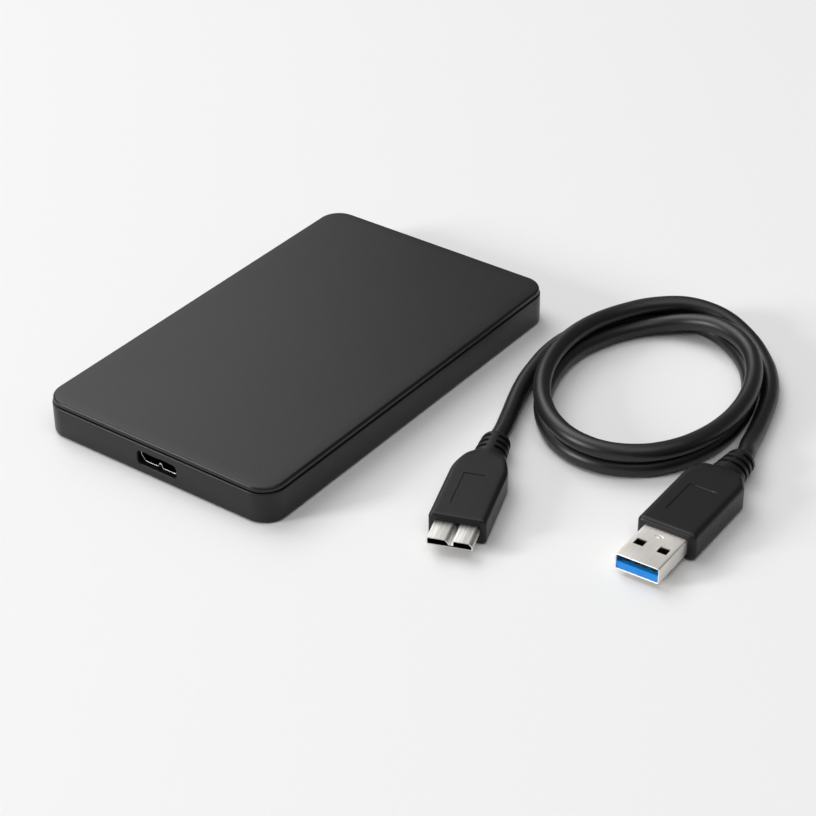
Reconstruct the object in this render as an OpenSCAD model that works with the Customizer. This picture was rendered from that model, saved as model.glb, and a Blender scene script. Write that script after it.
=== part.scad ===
// Pocket external hard drive with its own detachable lead.
// Millimetres, +Z up. The origin is the middle of the case's underside,
// with the port in the short side that faces -Y.

/* [Case] */
// Room between the bare drive and the tray's side walls
side_room = 1.475; // [1.2:0.025:6]
// Room behind the bare drive, filled by the rubber corners
back_room = 1.2; // [1:0.05:5]
// Radius of the case's upright corners
corner_radius = 6.6; // [5:0.1:9]
// Thickness of the tray's side walls
case_wall = 1.6; // [1.4:0.05:1.8]
// Thickness of the tray's floor
floor_thickness = 1.1; // [0.9:0.05:1.2]
// Rounding of the tray's bottom edge
base_edge_radius = 1; // [0.5:0.1:1.4]
// Thickness of the lid's flat panel
lid_thickness = 1.1; // [0.9:0.05:1.2]
// Height of the lid's visible side
lid_side = 1.4; // [1.3:0.05:1.8]
// How far the lid's side stands in from the tray's
lid_inset = 0.3; // [0.1:0.05:0.9]
// Radius of the lid's rounded edge
lid_edge_radius = 0.8; // [0.6:0.05:1.1]
// Visible gap between lid and tray
seam_gap = 0.35; // [0.2:0.05:0.5]
// Thickness of the lid's inner skirt
skirt_thickness = 0.8; // [0.6:0.05:0.9]
// Depth of the lid's inner skirt below its edge
skirt_depth = 1.6; // [1.3:0.1:1.9]
// Length of each snap hook on the skirt
hook_length = 9; // [6:0.5:12]

/* [Port] */
// Port centre to the right of the case's middle
port_offset = 1.2; // [-4:0.1:4]
// Width of the opening in the tray's end wall
recess_width = 13; // [12.9:0.1:15]
// Height of the opening in the tray's end wall
recess_height = 4; // [3.5:0.1:4.4]
// How far the socket's steel rim is set back from the outer face
rim_setback = 1.2; // [0.4:0.1:1.4]
// Outer width of the socket's steel shell
socket_width = 12.3; // [12.2:0.05:12.6]
// Outer height of the socket's steel shell
socket_height = 2.9; // [2.8:0.05:3.1]
// Depth of the socket's steel shell
socket_depth = 7; // [6.5:0.1:8]
// Sheet thickness of the socket's steel shell
socket_sheet = 0.25; // [0.2:0.01:0.3]

/* [Bridge board] */
// Width of the bridge board
bridge_width = 50; // [46:0.5:52]
// Length of the bridge board, along Y
bridge_length = 18.85; // [17:0.05:24]
// Height of the bosses that carry the bridge board
boss_height = 1.35; // [1:0.05:1.8]
// Thickness of the bridge board
bridge_thickness = 1; // [0.8:0.05:1.2]
// Distance between the bridge board's two screws
bridge_screw_spacing = 42; // [38:0.5:43]
// Radius of the small screws' threaded length
screw_radius = 0.8; // [0.7:0.02:0.9]
// Radius of the small screws' heads
screw_head_radius = 1.7; // [1.5:0.05:1.8]

/* [Bare drive] */
// Radius of the disk
disk_radius = 32.5; // [30:0.1:34]
// Gap between the disk's edge and the chamber's wall
disk_gap = 0.9; // [0.6:0.05:1.5]
// Thickness of the casting's side walls beside the disk
casting_wall = 1.525; // [1.2:0.025:2]
// Height of the bare drive
drive_height = 7; // [6.9:0.05:7.4]
// Thickness of the foam strips below the bare drive
lower_foam = 0.6; // [0.4:0.05:0.9]
// Thickness of the foam strips above the bare drive
upper_foam = 1; // [0.7:0.05:1.5]
// Thickness of the drive's steel cover
cover_thickness = 0.6; // [0.5:0.05:0.7]
// Thickness of the casting's floor under the disk
casting_floor = 0.8; // [0.6:0.05:0.9]
// Thickness of the disk
disk_thickness = 0.8; // [0.6:0.05:0.9]
// Radius of the disk's centre hole
disk_bore_radius = 10; // [9:0.1:10.5]
// Radius of the spindle's fixed shaft
shaft_radius = 2; // [1.5:0.1:2.5]
// Distance from the arm's pivot to its heads
arm_length = 35; // [33:0.1:38]
// Sideways distance from the disk's centre to the arm's pivot
pivot_side = 10; // [9:0.1:11]
// Radius of the arm's pivot post
pivot_radius = 2.5; // [2:0.1:3]
// Outer radius of the arm's coil, from the pivot
coil_outer = 18.5; // [17.5:0.1:20]
// Radius of the bare drive's rounded corners
drive_corner = 3; // [2.6:0.1:4]
// Running clearance of the spindle and of the pivot
running_gap = 0.05; // [0.03:0.01:0.08]

/* [Lead] */
// Diameter of the lead's cable
cable_diameter = 4.8; // [4.4:0.1:4.8]
// Width of the drive plug's moulded body
drive_plug_width = 14.8; // [14:0.1:15.5]
// Thickness of the drive plug's moulded body
drive_plug_thickness = 7.2; // [7:0.1:7.6]
// Width of the drive plug's steel tip
drive_tip_width = 11.6; // [11.2:0.05:11.6]
// Height of the drive plug's steel tip
drive_tip_height = 2; // [1.8:0.05:2.1]
// Visible length of the drive plug's steel tip
drive_tip_length = 7.2; // [6.5:0.1:8]
// Width of the computer plug's moulded body
computer_plug_width = 16.2; // [15:0.1:17]
// Thickness of the computer plug's moulded body
computer_plug_thickness = 7.8; // [7.6:0.1:8.4]
// Width of the computer plug's steel shell
computer_shell_width = 12; // [11.9:0.05:12.1]
// Height of the computer plug's steel shell
computer_shell_height = 4.5; // [4.4:0.05:4.6]
// Visible length of the computer plug's steel shell
computer_shell_length = 14; // [12:0.1:15]
// Sheet thickness of both plugs' shells
plug_sheet = 0.3; // [0.25:0.01:0.35]

/* [Hidden] */
$fn = 48;

// Small amount by which a cutter passes the face that it opens
over = 0.5;
// Clearance between moulded pieces that slip into each other
slip = 0.15;
// Clearance between soft or soldered pieces and their neighbours
touch = 0.05;
// Clearance of a screw in its threaded hole
thread_gap = 0.02;

// Bare drive's own sizes, which follow from the disk, the arm and the connector
connector_width = 42;
connector_depth = 4.5;
connector_height = 4;
connector_wall = 0.8;
end_wall = 1.6;
coil_gap = 0.525;
pivot_beyond_heads = 5.3;
drive_side = disk_radius + disk_gap + casting_wall;
drive_width = 2 * drive_side;
pivot_reach = arm_length + pivot_beyond_heads;
drive_length = drive_side + pivot_reach + coil_outer + coil_gap + end_wall + connector_depth;

// Case's sizes, which follow from what it holds
board_front_gap = 0.5;
board_back_gap = 0.85;
case_width = drive_width + 2 * side_room + 2 * case_wall;
bridge_bay = board_front_gap + bridge_length + board_back_gap;
case_length = drive_length + back_room + touch + bridge_bay + 2 * case_wall;
case_height = floor_thickness + lower_foam + drive_height + upper_foam + lid_thickness;

// Levels of the case
lid_edge_z = case_height - lid_side;
tray_top = lid_edge_z - seam_gap;
lid_under = case_height - lid_thickness;
inner_width = case_width - 2 * case_wall;
inner_length = case_length - 2 * case_wall;
inner_radius = corner_radius - case_wall;
front_face = -case_length / 2;
skirt_bottom = lid_edge_z - skirt_depth;
screw_head_height = 0.5;
hook_size = 0.4;
hook_height = 0.5;
hook_z = skirt_bottom + 0.2;
hook_from_end = 20;

// Bare drive's place: against the back corners, on its foam strips
drive_floor = floor_thickness + lower_foam;
drive_top = drive_floor + drive_height;
drive_back = inner_length / 2 - back_room - touch;
drive_front = drive_back - drive_length;
// Length across of the stops and rubber corners, which leave room for the bridge board
bridge_side_gap = 0.725;
end_length = drive_side - bridge_width / 2 - abs(port_offset) - bridge_side_gap;

// Levels and places inside the bare drive
board_pocket = 1.6;
drive_board_z = drive_floor + screw_head_height;
drive_board_thickness = 0.7;
board_ceiling = drive_floor + board_pocket;
motor_radius = 11;
casting_inner_floor = board_ceiling + casting_floor;
casting_top = drive_top - cover_thickness;
hub_bottom = casting_inner_floor + 0.15;
hub_height = 1.45;
disk_z = hub_bottom + hub_height;
disk_top = disk_z + disk_thickness;
clamp_thickness = 0.5;
clamp_radius = disk_bore_radius + 1.5;
hub_nose_radius = disk_bore_radius - 3;
disk_centre = [0, drive_back - drive_side];
chamber_radius = disk_radius + disk_gap;
chamber_side = drive_side - 3.925;
bay_start = 18;
chamber_front = drive_front + connector_depth + end_wall;
pivot_centre = [pivot_side, disk_centre[1] - pivot_reach];
pivot_to_disk = norm([pivot_side, pivot_reach]);
parked_radius = disk_radius + 1.46;
park_turn = acos((pow(pivot_to_disk, 2) + pow(arm_length, 2) - pow(parked_radius, 2))
    / (2 * pivot_to_disk * arm_length));
arm_park_angle = atan2(pivot_reach, -pivot_side) + park_turn;
arm_swing = 30;
arm_hub_radius = 5.2;
lift_tab = 2.5;
blade_thickness = 0.3;
slider_thickness = 0.2;
fly_gap = 0.2;
upper_blade_z = disk_top + fly_gap + slider_thickness;
lower_blade_z = disk_z - fly_gap - slider_thickness - blade_thickness;
coil_inner = arm_hub_radius + 3.4;
coil_half_angle = 17;
coil_z = lower_blade_z + 0.4;
coil_thickness = 1.4;
yoke_middle_angle = arm_park_angle - 180 - arm_swing / 2;
yoke_half_angle = 52;
yoke_outer = coil_outer + 1.5;
yoke_thickness = 0.6;
magnet_thickness = 0.3;
magnet_half_angle = 24;
yoke_post_radius = 1.5;
yoke_post_reach = 15;
yoke_post_half_angle = 46;
lower_yoke_top = casting_inner_floor + yoke_thickness;
upper_yoke_z = casting_top - 0.1 - yoke_thickness;

// Connector between the bare drive and the bridge board
connector_bottom = drive_board_z + drive_board_thickness;
blade_widths = [10.5, 20.5];
blade_places = [-11.5, 6.5];
blade_thick = 1.2;

// Bridge board's place, and the port that sits on it
board_bottom = floor_thickness + boss_height;
board_top = board_bottom + bridge_thickness;
port_z = board_top + socket_height / 2;
board_front = front_face + case_wall + board_front_gap;
bridge_screw_x = [for (side = [-0.5, 0.5]) port_offset + side * bridge_screw_spacing];
bridge_screw_y = front_face + case_wall + 6;
boss_radius = 2.3;
rim_front = front_face + rim_setback;
notch_place = 0.3;
notch_width = 1.3;
notch_rise = 1.1;

// Screws: in from the bare drive's sides, or from the disk's centre
cover_screw_length = 3;
board_screw_bite = 0.5;
corner_screw_in = 3.525;
middle_screw_in = 1.925;
screw_places = [for (x = [-1, 1]) each [[x * (drive_side - corner_screw_in), drive_back - 3.4],
    [x * (drive_side - middle_screw_in), pivot_centre[1] + 2.3],
    [x * (drive_side - corner_screw_in), drive_front + 3]]];
pocket_side = drive_side - 4.925;
board_screw_rows = [disk_centre[1] - 2, drive_front + 8];
board_screw_places = [for (x = [-1, 1], y = board_screw_rows) [x * (pocket_side - 3), y]];

// Plugs' places: the middle of each mouth on the table, and the turn of its axis
drive_plug_at = [80.4, -45.7];
drive_plug_turn = 20.2;
drive_plug_z = drive_plug_thickness / 2;
drive_neck_start = 37.7;
drive_neck_end = 47.1;
drive_tip_lift = 0.6;
insert_setback = 3.5;
computer_plug_at = [122.2, -27.3];
computer_plug_turn = 2.3;
computer_plug_z = computer_plug_thickness / 2;
computer_neck_start = 44.3;
computer_neck_end = 55;
embedded = 5;
tongue_height = 1.9;

// Cable's route: straight out of the drive plug, 2.6 turns clockwise round an oval
// on the table, and into the computer plug
cable_radius = cable_diameter / 2;
cable_sides = 10;
oval_centre = [82.8, 42.4];
oval_long = 37.2;
oval_short = 27;
oval_turn = 104;
oval_step = 15;
first_angle = 195;
last_angle = -720;
start_points = [[62.3, 4.1, 3.3], [59.1, 12, 2.6], [55.9, 20, 2.4], [53.4, 27.5, 2.4]];
end_points = [[117.6, 35, 3]];
// How far the cable lies outside the oval, at angles round it
reach_stops = [[-740, 9], [-712, 4.6], [-658, 4.8], [-586, 0], [-308, 0], [-252, -3.6],
    [-228, -3], [-180, -1], [-120, -0.2], [-30, -0.6], [72, -0.8], [132, 2.2], [172, 4.8], [200, 5]];
// Height of the cable's middle: on the table, then up onto its first turn, then down
height_stops = [[-740, 2.4], [-662, 2.4], [-616, 7.3], [-606, 7.3], [-588, 6.9], [-540, 7.3],
    [-282, 7.3], [-228, 2.4], [215, 2.4]];

// Value between two stops, with no kink at a stop
function stop_before(stops, a) = max([for (k = [0 : len(stops) - 2]) if (stops[k][0] <= a) k]);
function smooth(t) = t * t * (3 - 2 * t);
function eased(stops, a) =
    let (k = stop_before(stops, a), s = stops[k], e = stops[k + 1])
    s[1] + (e[1] - s[1]) * smooth((a - s[0]) / (e[0] - s[0]));
function oval_radius(a) = oval_long * oval_short
    / sqrt(pow(oval_short * cos(a - oval_turn), 2) + pow(oval_long * sin(a - oval_turn), 2));
function oval_point(a) =
    let (r = oval_radius(a) + eased(reach_stops, a))
    [oval_centre[0] + r * cos(a), oval_centre[1] + r * sin(a), eased(height_stops, a)];

// Point on a plug's axis at a distance behind its mouth
function behind(at, turn, z, distance) = [at[0] - distance * sin(turn), at[1] + distance * cos(turn), z];
drive_plug_exit = behind(drive_plug_at, drive_plug_turn, drive_plug_z, drive_neck_end);
computer_plug_exit = behind(computer_plug_at, computer_plug_turn, computer_plug_z, computer_neck_end);
cable_route = concat([drive_plug_exit], start_points,
    [for (a = [first_angle : -oval_step : last_angle]) oval_point(a)],
    end_points, [computer_plug_exit]);

// Direction of the cable at each point of its route; both ends follow their plug's axis
function unit(v) = v / norm(v);
function along(points, k) =
    k == 0 ? [-sin(drive_plug_turn), cos(drive_plug_turn), 0]
    : k == len(points) - 1 ? [sin(computer_plug_turn), -cos(computer_plug_turn), 0]
    : unit(points[k + 1] - points[k - 1]);

// Rounded plan outline as a solid slab, made of true arcs
module slab(length, width, radius, height) {
    translate([-width / 2 + radius, -length / 2, 0]) cube([width - 2 * radius, length, height]);
    translate([-width / 2, -length / 2 + radius, 0]) cube([width, length - 2 * radius, height]);
    for (x = [-1, 1], y = [-1, 1])
        translate([x * (width / 2 - radius), y * (length / 2 - radius), 0]) cylinder(r = radius, h = height);
}

// Slab whose edge follows a profile: points of [distance in from the side, height]
module edged_slab(length, width, radius, profile) {
    outline = concat(profile, [[radius, profile[len(profile) - 1][1]], [radius, profile[0][1]]]);
    straight_x = width - 2 * radius;
    straight_y = length - 2 * radius;
    low = profile[0][1];
    high = profile[len(profile) - 1][1];
    corner = [for (p = outline) [radius - p[0], p[1]]];
    for (x = [-1, 1], y = [-1, 1])
        translate([x * straight_x / 2, y * straight_y / 2, 0]) rotate_extrude() polygon(corner);
    for (side = [0, 180]) rotate(side) {
        translate([straight_x / 2, straight_y / 2, 0]) rotate([90, 0, 0])
            linear_extrude(straight_y) polygon(corner);
        translate([-straight_x / 2, straight_y / 2, 0]) rotate([90, 0, 90])
            linear_extrude(straight_x) polygon(corner);
    }
    translate([-straight_x / 2, -straight_y / 2, low]) cube([straight_x, straight_y, high - low]);
}

// Steps of a quarter round, as shares of its width and height
function quarter(steps) = [for (k = [0 : steps]) [1 - cos(90 * k / steps), sin(90 * k / steps)]];

// Sector of a ring about the Z axis
module ring_sector(inner, outer, from_angle, to_angle, height) {
    reach = outer * 1.6;
    middle = (from_angle + to_angle) / 2;
    intersection() {
        difference() {
            cylinder(r = outer, h = height);
            translate([0, 0, -over]) cylinder(r = inner, h = height + 2 * over);
        }
        linear_extrude(height) polygon([[0, 0], reach * [cos(from_angle), sin(from_angle)],
            reach * [cos(middle), sin(middle)], reach * [cos(to_angle), sin(to_angle)]]);
    }
}

module screw(length, head_radius = screw_head_radius) {
    translate([0, 0, -length]) cylinder(r = screw_radius, h = length);
    cylinder(r = head_radius, h = screw_head_height);
}

// Places a plug's own frame: X across, Y from its mouth towards the cable
module plug_frame(at, turn, z) translate([at[0], at[1], z]) rotate(turn) children();

module snap_hooks(grow) {
    reach = hook_size + skirt_thickness / 2 + grow;
    for (y = [-1, 0, 1], side = [-1, 1])
        translate([side * (inner_width / 2 - slip - skirt_thickness / 2 + reach / 2),
            y * (inner_length / 2 - hook_from_end), hook_z + hook_height / 2])
            cube([reach, hook_length + 2 * grow, hook_height + 2 * grow], center = true);
}

// Slab as large as the lid's skirt, moved in by an amount
module skirt_slab(inwards, height) {
    in = slip + inwards;
    slab(inner_length - 2 * in, inner_width - 2 * in, inner_radius - in, height);
}

module lid() {
    rise = [for (q = quarter(6)) [lid_edge_radius * q[0], case_height + lid_edge_radius * (q[1] - 1)]];
    color("#3a3a3c") union() {
        difference() {
            edged_slab(case_length - 2 * lid_inset, case_width - 2 * lid_inset, corner_radius - lid_inset,
                concat([[0, lid_edge_z]], rise));
            translate([0, 0, lid_edge_z - over]) skirt_slab(0, lid_under - lid_edge_z + over);
        }
        difference() {
            translate([0, 0, skirt_bottom]) skirt_slab(0, lid_under - skirt_bottom + touch);
            translate([0, 0, skirt_bottom - over])
                skirt_slab(skirt_thickness, lid_under - skirt_bottom + over);
        }
        snap_hooks(0);
    }
}

module tray() {
    foot = [for (q = quarter(5)) [base_edge_radius * (1 - q[1]), base_edge_radius * q[0]]];
    color("#333335") difference() {
        union() {
            difference() {
                edged_slab(case_length, case_width, corner_radius, concat(foot, [[0, tray_top]]));
                translate([0, 0, floor_thickness])
                    slab(inner_length, inner_width, inner_radius, tray_top);
            }
            for (x = bridge_screw_x)
                translate([x, bridge_screw_y, floor_thickness - touch])
                    cylinder(r = boss_radius, h = boss_height + touch);
            for (x = [-1, 1])
                translate([x * (drive_side - end_length / 2) - end_length / 2,
                    drive_front - back_room - touch - case_wall, floor_thickness - touch])
                    cube([end_length, case_wall, drive_height / 2]);
        }
        translate([port_offset, front_face + case_wall / 2, port_z])
            rotate([90, 0, 0]) translate([0, 0, -case_wall]) port_opening(2 * case_wall);
        for (x = bridge_screw_x)
            translate([x, bridge_screw_y, floor_thickness])
                cylinder(r = screw_radius + thread_gap, h = board_bottom);
        snap_hooks(slip);
    }
}

// Rounded slot that the port shows through, drawn flat and extruded
module port_opening(depth) {
    round_end = 1.3;
    flat_w = recess_width - 2 * round_end;
    flat_h = recess_height - 2 * round_end;
    translate([-flat_w / 2, -recess_height / 2, 0]) cube([flat_w, recess_height, depth]);
    translate([-recess_width / 2, -flat_h / 2, 0]) cube([recess_width, flat_h, depth]);
    for (x = [-1, 1], y = [-1, 1]) translate([x * flat_w / 2, y * flat_h / 2, 0])
        cylinder(r = round_end, h = depth);
}

// Outline of the socket's rim, with the notch that keys the plug
module socket_outline(shrink) {
    w = socket_width / 2 - shrink;
    h = socket_height / 2 - shrink;
    n = notch_width / 2 + shrink;
    left_cut = [1.3, 1.7];
    right_cut = [0.8, 1];
    slope = 0.3;
    polygon([[-w, h], [-w, -h + left_cut[1]], [-w + left_cut[0], -h], [notch_place - n, -h],
        [notch_place - n + slope, -h + notch_rise], [notch_place + n - slope, -h + notch_rise],
        [notch_place + n, -h], [w - right_cut[0], -h], [w, -h + right_cut[1]], [w, h]]);
}

module socket_frame() translate([port_offset, rim_front, port_z]) rotate([-90, 0, 0]) mirror([0, 1, 0])
    children();

module port_shell() color("#c9c9c6") {
    socket_frame() difference() {
        linear_extrude(socket_depth) socket_outline(0);
        translate([0, 0, -over]) linear_extrude(socket_depth - socket_sheet + over)
            socket_outline(socket_sheet);
    }
}

module port_tongues() color("#1d1d1f") {
    tongue = 0.9;
    left = [-socket_width / 2 + 1.2, notch_place - notch_width / 2 - 0.9];
    right = [notch_place + notch_width / 2 + 0.9, socket_width / 2 - 1.2];
    back = 1.5;
    socket_frame() {
        translate([0, 0, socket_depth - socket_sheet - back]) linear_extrude(back)
            socket_outline(socket_sheet);
        for (span = [left, right])
            translate([span[0], socket_height / 2 - socket_sheet - tongue - 0.35, 1])
                cube([span[1] - span[0], tongue, socket_depth - socket_sheet - back - 1]);
    }
}

module port_contacts() color("#c8a24a") {
    left_middle = (-socket_width / 2 + 1.2 + notch_place - notch_width / 2 - 0.9) / 2;
    right_middle = (notch_place + notch_width / 2 + 0.9 + socket_width / 2 - 1.2) / 2;
    thin = 0.12;
    socket_frame()
        for (middle = [left_middle, right_middle], k = [-2 : 2])
            translate([middle + k * 0.65 - 0.15, socket_height / 2 - socket_sheet - 1.25 - thin, 1.4])
                cube([0.3, thin, 3.6]);
}

module bridge_board() color("#1b211f") difference() {
    translate([port_offset - bridge_width / 2, board_front, board_bottom])
        cube([bridge_width, bridge_length, bridge_thickness]);
    for (x = bridge_screw_x)
        translate([x, bridge_screw_y, board_bottom - over])
            cylinder(r = screw_radius + slip, h = bridge_thickness + 2 * over);
}

module bridge_screws() color("#9a9a9a")
    for (x = bridge_screw_x)
        translate([x, bridge_screw_y, board_top])
            difference() {
                screw(board_top - floor_thickness - touch);
                translate([-0.2, -1, screw_head_height - 0.25]) cube([0.4, 2, over]);
                translate([-1, -0.2, screw_head_height - 0.25]) cube([2, 0.4, over]);
            }

// Blades of the drive's connector, or the slots that take them
module connector_blades(grow, depth) {
    for (k = [0, 1])
        translate([blade_places[k], 0, connector_bottom + connector_height / 2])
            translate([-blade_widths[k] / 2 - grow, 0, -blade_thick / 2 - grow])
                cube([blade_widths[k] + 2 * grow, depth, blade_thick + 2 * grow]);
}

module drive_connector() color("#202022") {
    difference() {
        translate([-connector_width / 2, drive_front, connector_bottom])
            cube([connector_width, connector_depth, connector_height]);
        translate([connector_wall - connector_width / 2, drive_front - over,
            connector_bottom + connector_wall])
            cube([connector_width - 2 * connector_wall, connector_depth - connector_wall + over,
                connector_height - 2 * connector_wall]);
    }
    translate([0, drive_front, 0]) connector_blades(0, connector_depth - connector_wall);
}

module bridge_socket() {
    nose = connector_depth - connector_wall - slip;
    body_depth = 5;
    body_height = connector_bottom + connector_height - board_top;
    color("#262628") difference() {
        union() {
            translate([-connector_width / 2, drive_front - body_depth - slip, board_top])
                cube([connector_width, body_depth, body_height]);
            translate([-connector_width / 2 + connector_wall + slip, drive_front - slip - over,
                connector_bottom + connector_wall + slip])
                cube([connector_width - 2 * connector_wall - 2 * slip, nose + slip + over,
                    connector_height - 2 * connector_wall - 2 * slip]);
        }
        translate([0, drive_front - touch, 0]) connector_blades(0.1, nose + over);
    }
}

module bridge_chip() color("#18181a") board_block([-0.31, 0.32], [0.14, 0.14, 0.018]);

// Four capacitors, an inductor and a crystal
module bridge_small_parts() color("#b59b6a") {
    for (k = [0 : 3]) board_block([0.18 + 0.044 * k, 0.34], [0.016, 0.032, 0.014]);
    board_block([0.18, 0.53], [0.1, 0.064, 0.022]);
    board_block([-0.42, 0.53], [0.08, 0.08, 0.032]);
}

// Block on the bridge board: its place as shares of the board's two sides, its size of the board's width
module board_block(place, size)
    translate([port_offset + place[0] * bridge_width, board_front + place[1] * bridge_length, board_top])
        cube(bridge_width * size);

// Outline of the bare drive, grown all round
module drive_block(grow, bottom, height) translate([0, drive_back - drive_length / 2, bottom])
    slab(drive_length + 2 * grow, drive_width + 2 * grow, drive_corner + grow, height);

// Four rubber corners that fill the space between the bare drive and the tray
module corner_bumpers() {
    leg = 12;
    width = end_length + 2 * back_room;
    top = skirt_bottom - 0.3;
    color("#242424") difference() {
        intersection() {
            translate([0, 0, floor_thickness])
                slab(inner_length - 2 * touch, inner_width - 2 * touch, inner_radius - touch,
                    top - floor_thickness);
            for (x = [-1, 1], end = [drive_back + back_room - leg, drive_front - back_room])
                translate([x * (drive_side - end_length / 2 + back_room) - width / 2, end, 0])
                    cube([width, leg, case_height]);
        }
        drive_block(touch, 0, case_height);
    }
}

module lower_foam_strips() color("#4a4a4a")
    for (y = [0.2, 0.85])
        translate([-drive_side + 4, drive_front + y * drive_length - 4, floor_thickness])
            cube([drive_width - 8, 8, lower_foam]);

module upper_foam_strips() color("#4a4a4a")
    for (y = [0.28, 0.78])
        translate([-drive_side + 8, drive_front + y * drive_length - 4, drive_top])
            cube([drive_width - 16, 8, lid_under - drive_top]);

// Plan of the sealed chamber: a round bay for the disk and a square one for the arm
module chamber(shrink, bottom, height) {
    translate([disk_centre[0], disk_centre[1], bottom])
        cylinder(r = chamber_radius - shrink, h = height, $fn = 96);
    translate([-chamber_side + shrink, chamber_front + shrink, bottom])
        cube([2 * (chamber_side - shrink), disk_centre[1] - bay_start - chamber_front - 2 * shrink, height]);
}

module drive_casting() {
    pocket_back = disk_centre[1] + 2;
    seat_radius = 2;
    color("#a9abad") difference() {
        union() {
            difference() {
                drive_block(0, drive_floor, casting_top - drive_floor);
                chamber(0, casting_inner_floor, drive_height);
                translate([-pocket_side, drive_front - over, drive_floor - over])
                    cube([2 * pocket_side, pocket_back - drive_front + over, board_pocket + over]);
                translate([-connector_width / 2 - slip, drive_front - over, drive_floor - over])
                    cube([connector_width + 2 * slip, connector_depth + slip + over,
                        connector_bottom + connector_height + slip - drive_floor + over]);
            }
            for (p = board_screw_places)
                translate([p[0], p[1], connector_bottom])
                    cylinder(r = seat_radius, h = board_ceiling + touch - connector_bottom);
        }
        for (p = screw_places)
            translate([p[0], p[1], casting_top - cover_screw_length])
                cylinder(r = screw_radius + thread_gap, h = drive_height);
        translate([disk_centre[0], disk_centre[1], drive_floor])
            cylinder(r = motor_radius + thread_gap, h = drive_height);
        translate([pivot_centre[0], pivot_centre[1], drive_floor])
            cylinder(r = pivot_radius + thread_gap, h = drive_height);
        for (p = board_screw_places)
            translate([p[0], p[1], drive_floor])
                cylinder(r = screw_radius + thread_gap, h = board_pocket + board_screw_bite + touch);
    }
}

module drive_cover() color("#b9bbbd") difference() {
    drive_block(-touch, casting_top, cover_thickness);
    for (p = screw_places)
        translate([p[0], p[1], casting_top - over])
            cylinder(r = screw_radius + slip, h = cover_thickness + 2 * over);
}

module cover_screws() color("#8f9193")
    for (p = screw_places) translate([p[0], p[1], drive_top])
        difference() {
            screw(cover_thickness + cover_screw_length - slip);
            translate([-0.2, -1, screw_head_height - 0.25]) cube([0.4, 2, over]);
            translate([-1, -0.2, screw_head_height - 0.25]) cube([2, 0.4, over]);
        }

// Drive's own board, under the casting, with the connector on its front edge
module drive_board() color("#1d3f5e") difference() {
    side = pocket_side - 0.4;
    front = drive_front + 0.4;
    translate([-side, front, drive_board_z])
        cube([2 * side, disk_centre[1] + 1 - front, drive_board_thickness]);
    translate([disk_centre[0], disk_centre[1], drive_floor])
        cylinder(r = motor_radius + 0.4, h = board_pocket);
    for (p = board_screw_places)
        translate([p[0], p[1], drive_floor]) cylinder(r = screw_radius + slip, h = board_pocket);
}

// Chips' corners and sides as shares of the disk's radius, from its centre
module drive_board_chips() color("#19191b")
    for (c = [[-0.4, -0.8, 0.28], [0.12, -0.74, 0.215], [-0.09, -1.23, 0.15]])
        translate([c[0] * disk_radius, disk_centre[1] + c[1] * disk_radius, connector_bottom])
            cube([c[2] * disk_radius, c[2] * disk_radius, board_ceiling - touch - connector_bottom]);

module drive_board_screws() color("#8f9193")
    for (p = board_screw_places) translate([p[0], p[1], drive_board_z]) mirror([0, 0, 1])
        screw(board_ceiling + board_screw_bite - drive_board_z);

// Fixed part of the motor, with the shaft that the hub turns on
module spindle_motor() color("#8c8e90") translate([disk_centre[0], disk_centre[1], 0]) {
    base = drive_floor + 0.4;
    translate([0, 0, base]) cylinder(r = motor_radius, h = casting_inner_floor - base);
    translate([0, 0, casting_inner_floor - touch])
        cylinder(r = shaft_radius, h = casting_top - 0.4 - casting_inner_floor);
}

module spindle_hub() color("#c2c4c6") translate([disk_centre[0], disk_centre[1], 0]) difference() {
    union() {
        translate([0, 0, hub_bottom]) cylinder(r = clamp_radius, h = hub_height);
        translate([0, 0, disk_z - touch])
            cylinder(r = disk_bore_radius - running_gap, h = disk_thickness + touch);
        translate([0, 0, disk_top - touch]) cylinder(r = hub_nose_radius, h = clamp_thickness + touch);
    }
    translate([0, 0, hub_bottom - over]) cylinder(r = shaft_radius + running_gap, h = drive_height);
}

module disk() color("#dfe1e3") translate([disk_centre[0], disk_centre[1], disk_z]) difference() {
    cylinder(r = disk_radius, h = disk_thickness, $fn = 96);
    translate([0, 0, -over]) cylinder(r = disk_bore_radius, h = disk_thickness + 2 * over);
}

module disk_clamp() color("#b4b6b8") translate([disk_centre[0], disk_centre[1], disk_top]) difference() {
    cylinder(r = clamp_radius, h = clamp_thickness);
    translate([0, 0, -over]) cylinder(r = hub_nose_radius + running_gap, h = clamp_thickness + 2 * over);
}

// Arm's own frame: pivot at the origin, heads along +X when parked
module arm_frame() translate([pivot_centre[0], pivot_centre[1], 0]) rotate(arm_park_angle) children();

module head_arm() color("#b8babc") arm_frame() difference() {
    bar = 1.2;
    tip = arm_length + 0.6;
    edge = [[0, -arm_hub_radius + 0.6], [2 * arm_hub_radius, -arm_hub_radius + 1.6], [arm_length - 3, -1.2],
        [tip, -0.9], [tip, -0.3], [arm_length + lift_tab, -0.3]];
    union() {
        translate([0, 0, lower_blade_z])
            cylinder(r = arm_hub_radius, h = upper_blade_z + blade_thickness - lower_blade_z);
        for (z = [lower_blade_z, upper_blade_z])
            translate([0, 0, z]) linear_extrude(blade_thickness)
                polygon(concat(edge, [for (k = [len(edge) - 1 : -1 : 0]) [edge[k][0], -edge[k][1]]]));
        for (side = [-1, 1]) rotate(180 + side * coil_half_angle)
            translate([arm_hub_radius - 1, side > 0 ? touch : -touch - bar, coil_z])
                cube([coil_outer - arm_hub_radius - 3, bar, coil_thickness]);
    }
    translate([0, 0, lower_blade_z - over]) cylinder(r = pivot_radius + running_gap, h = drive_height);
}

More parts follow.
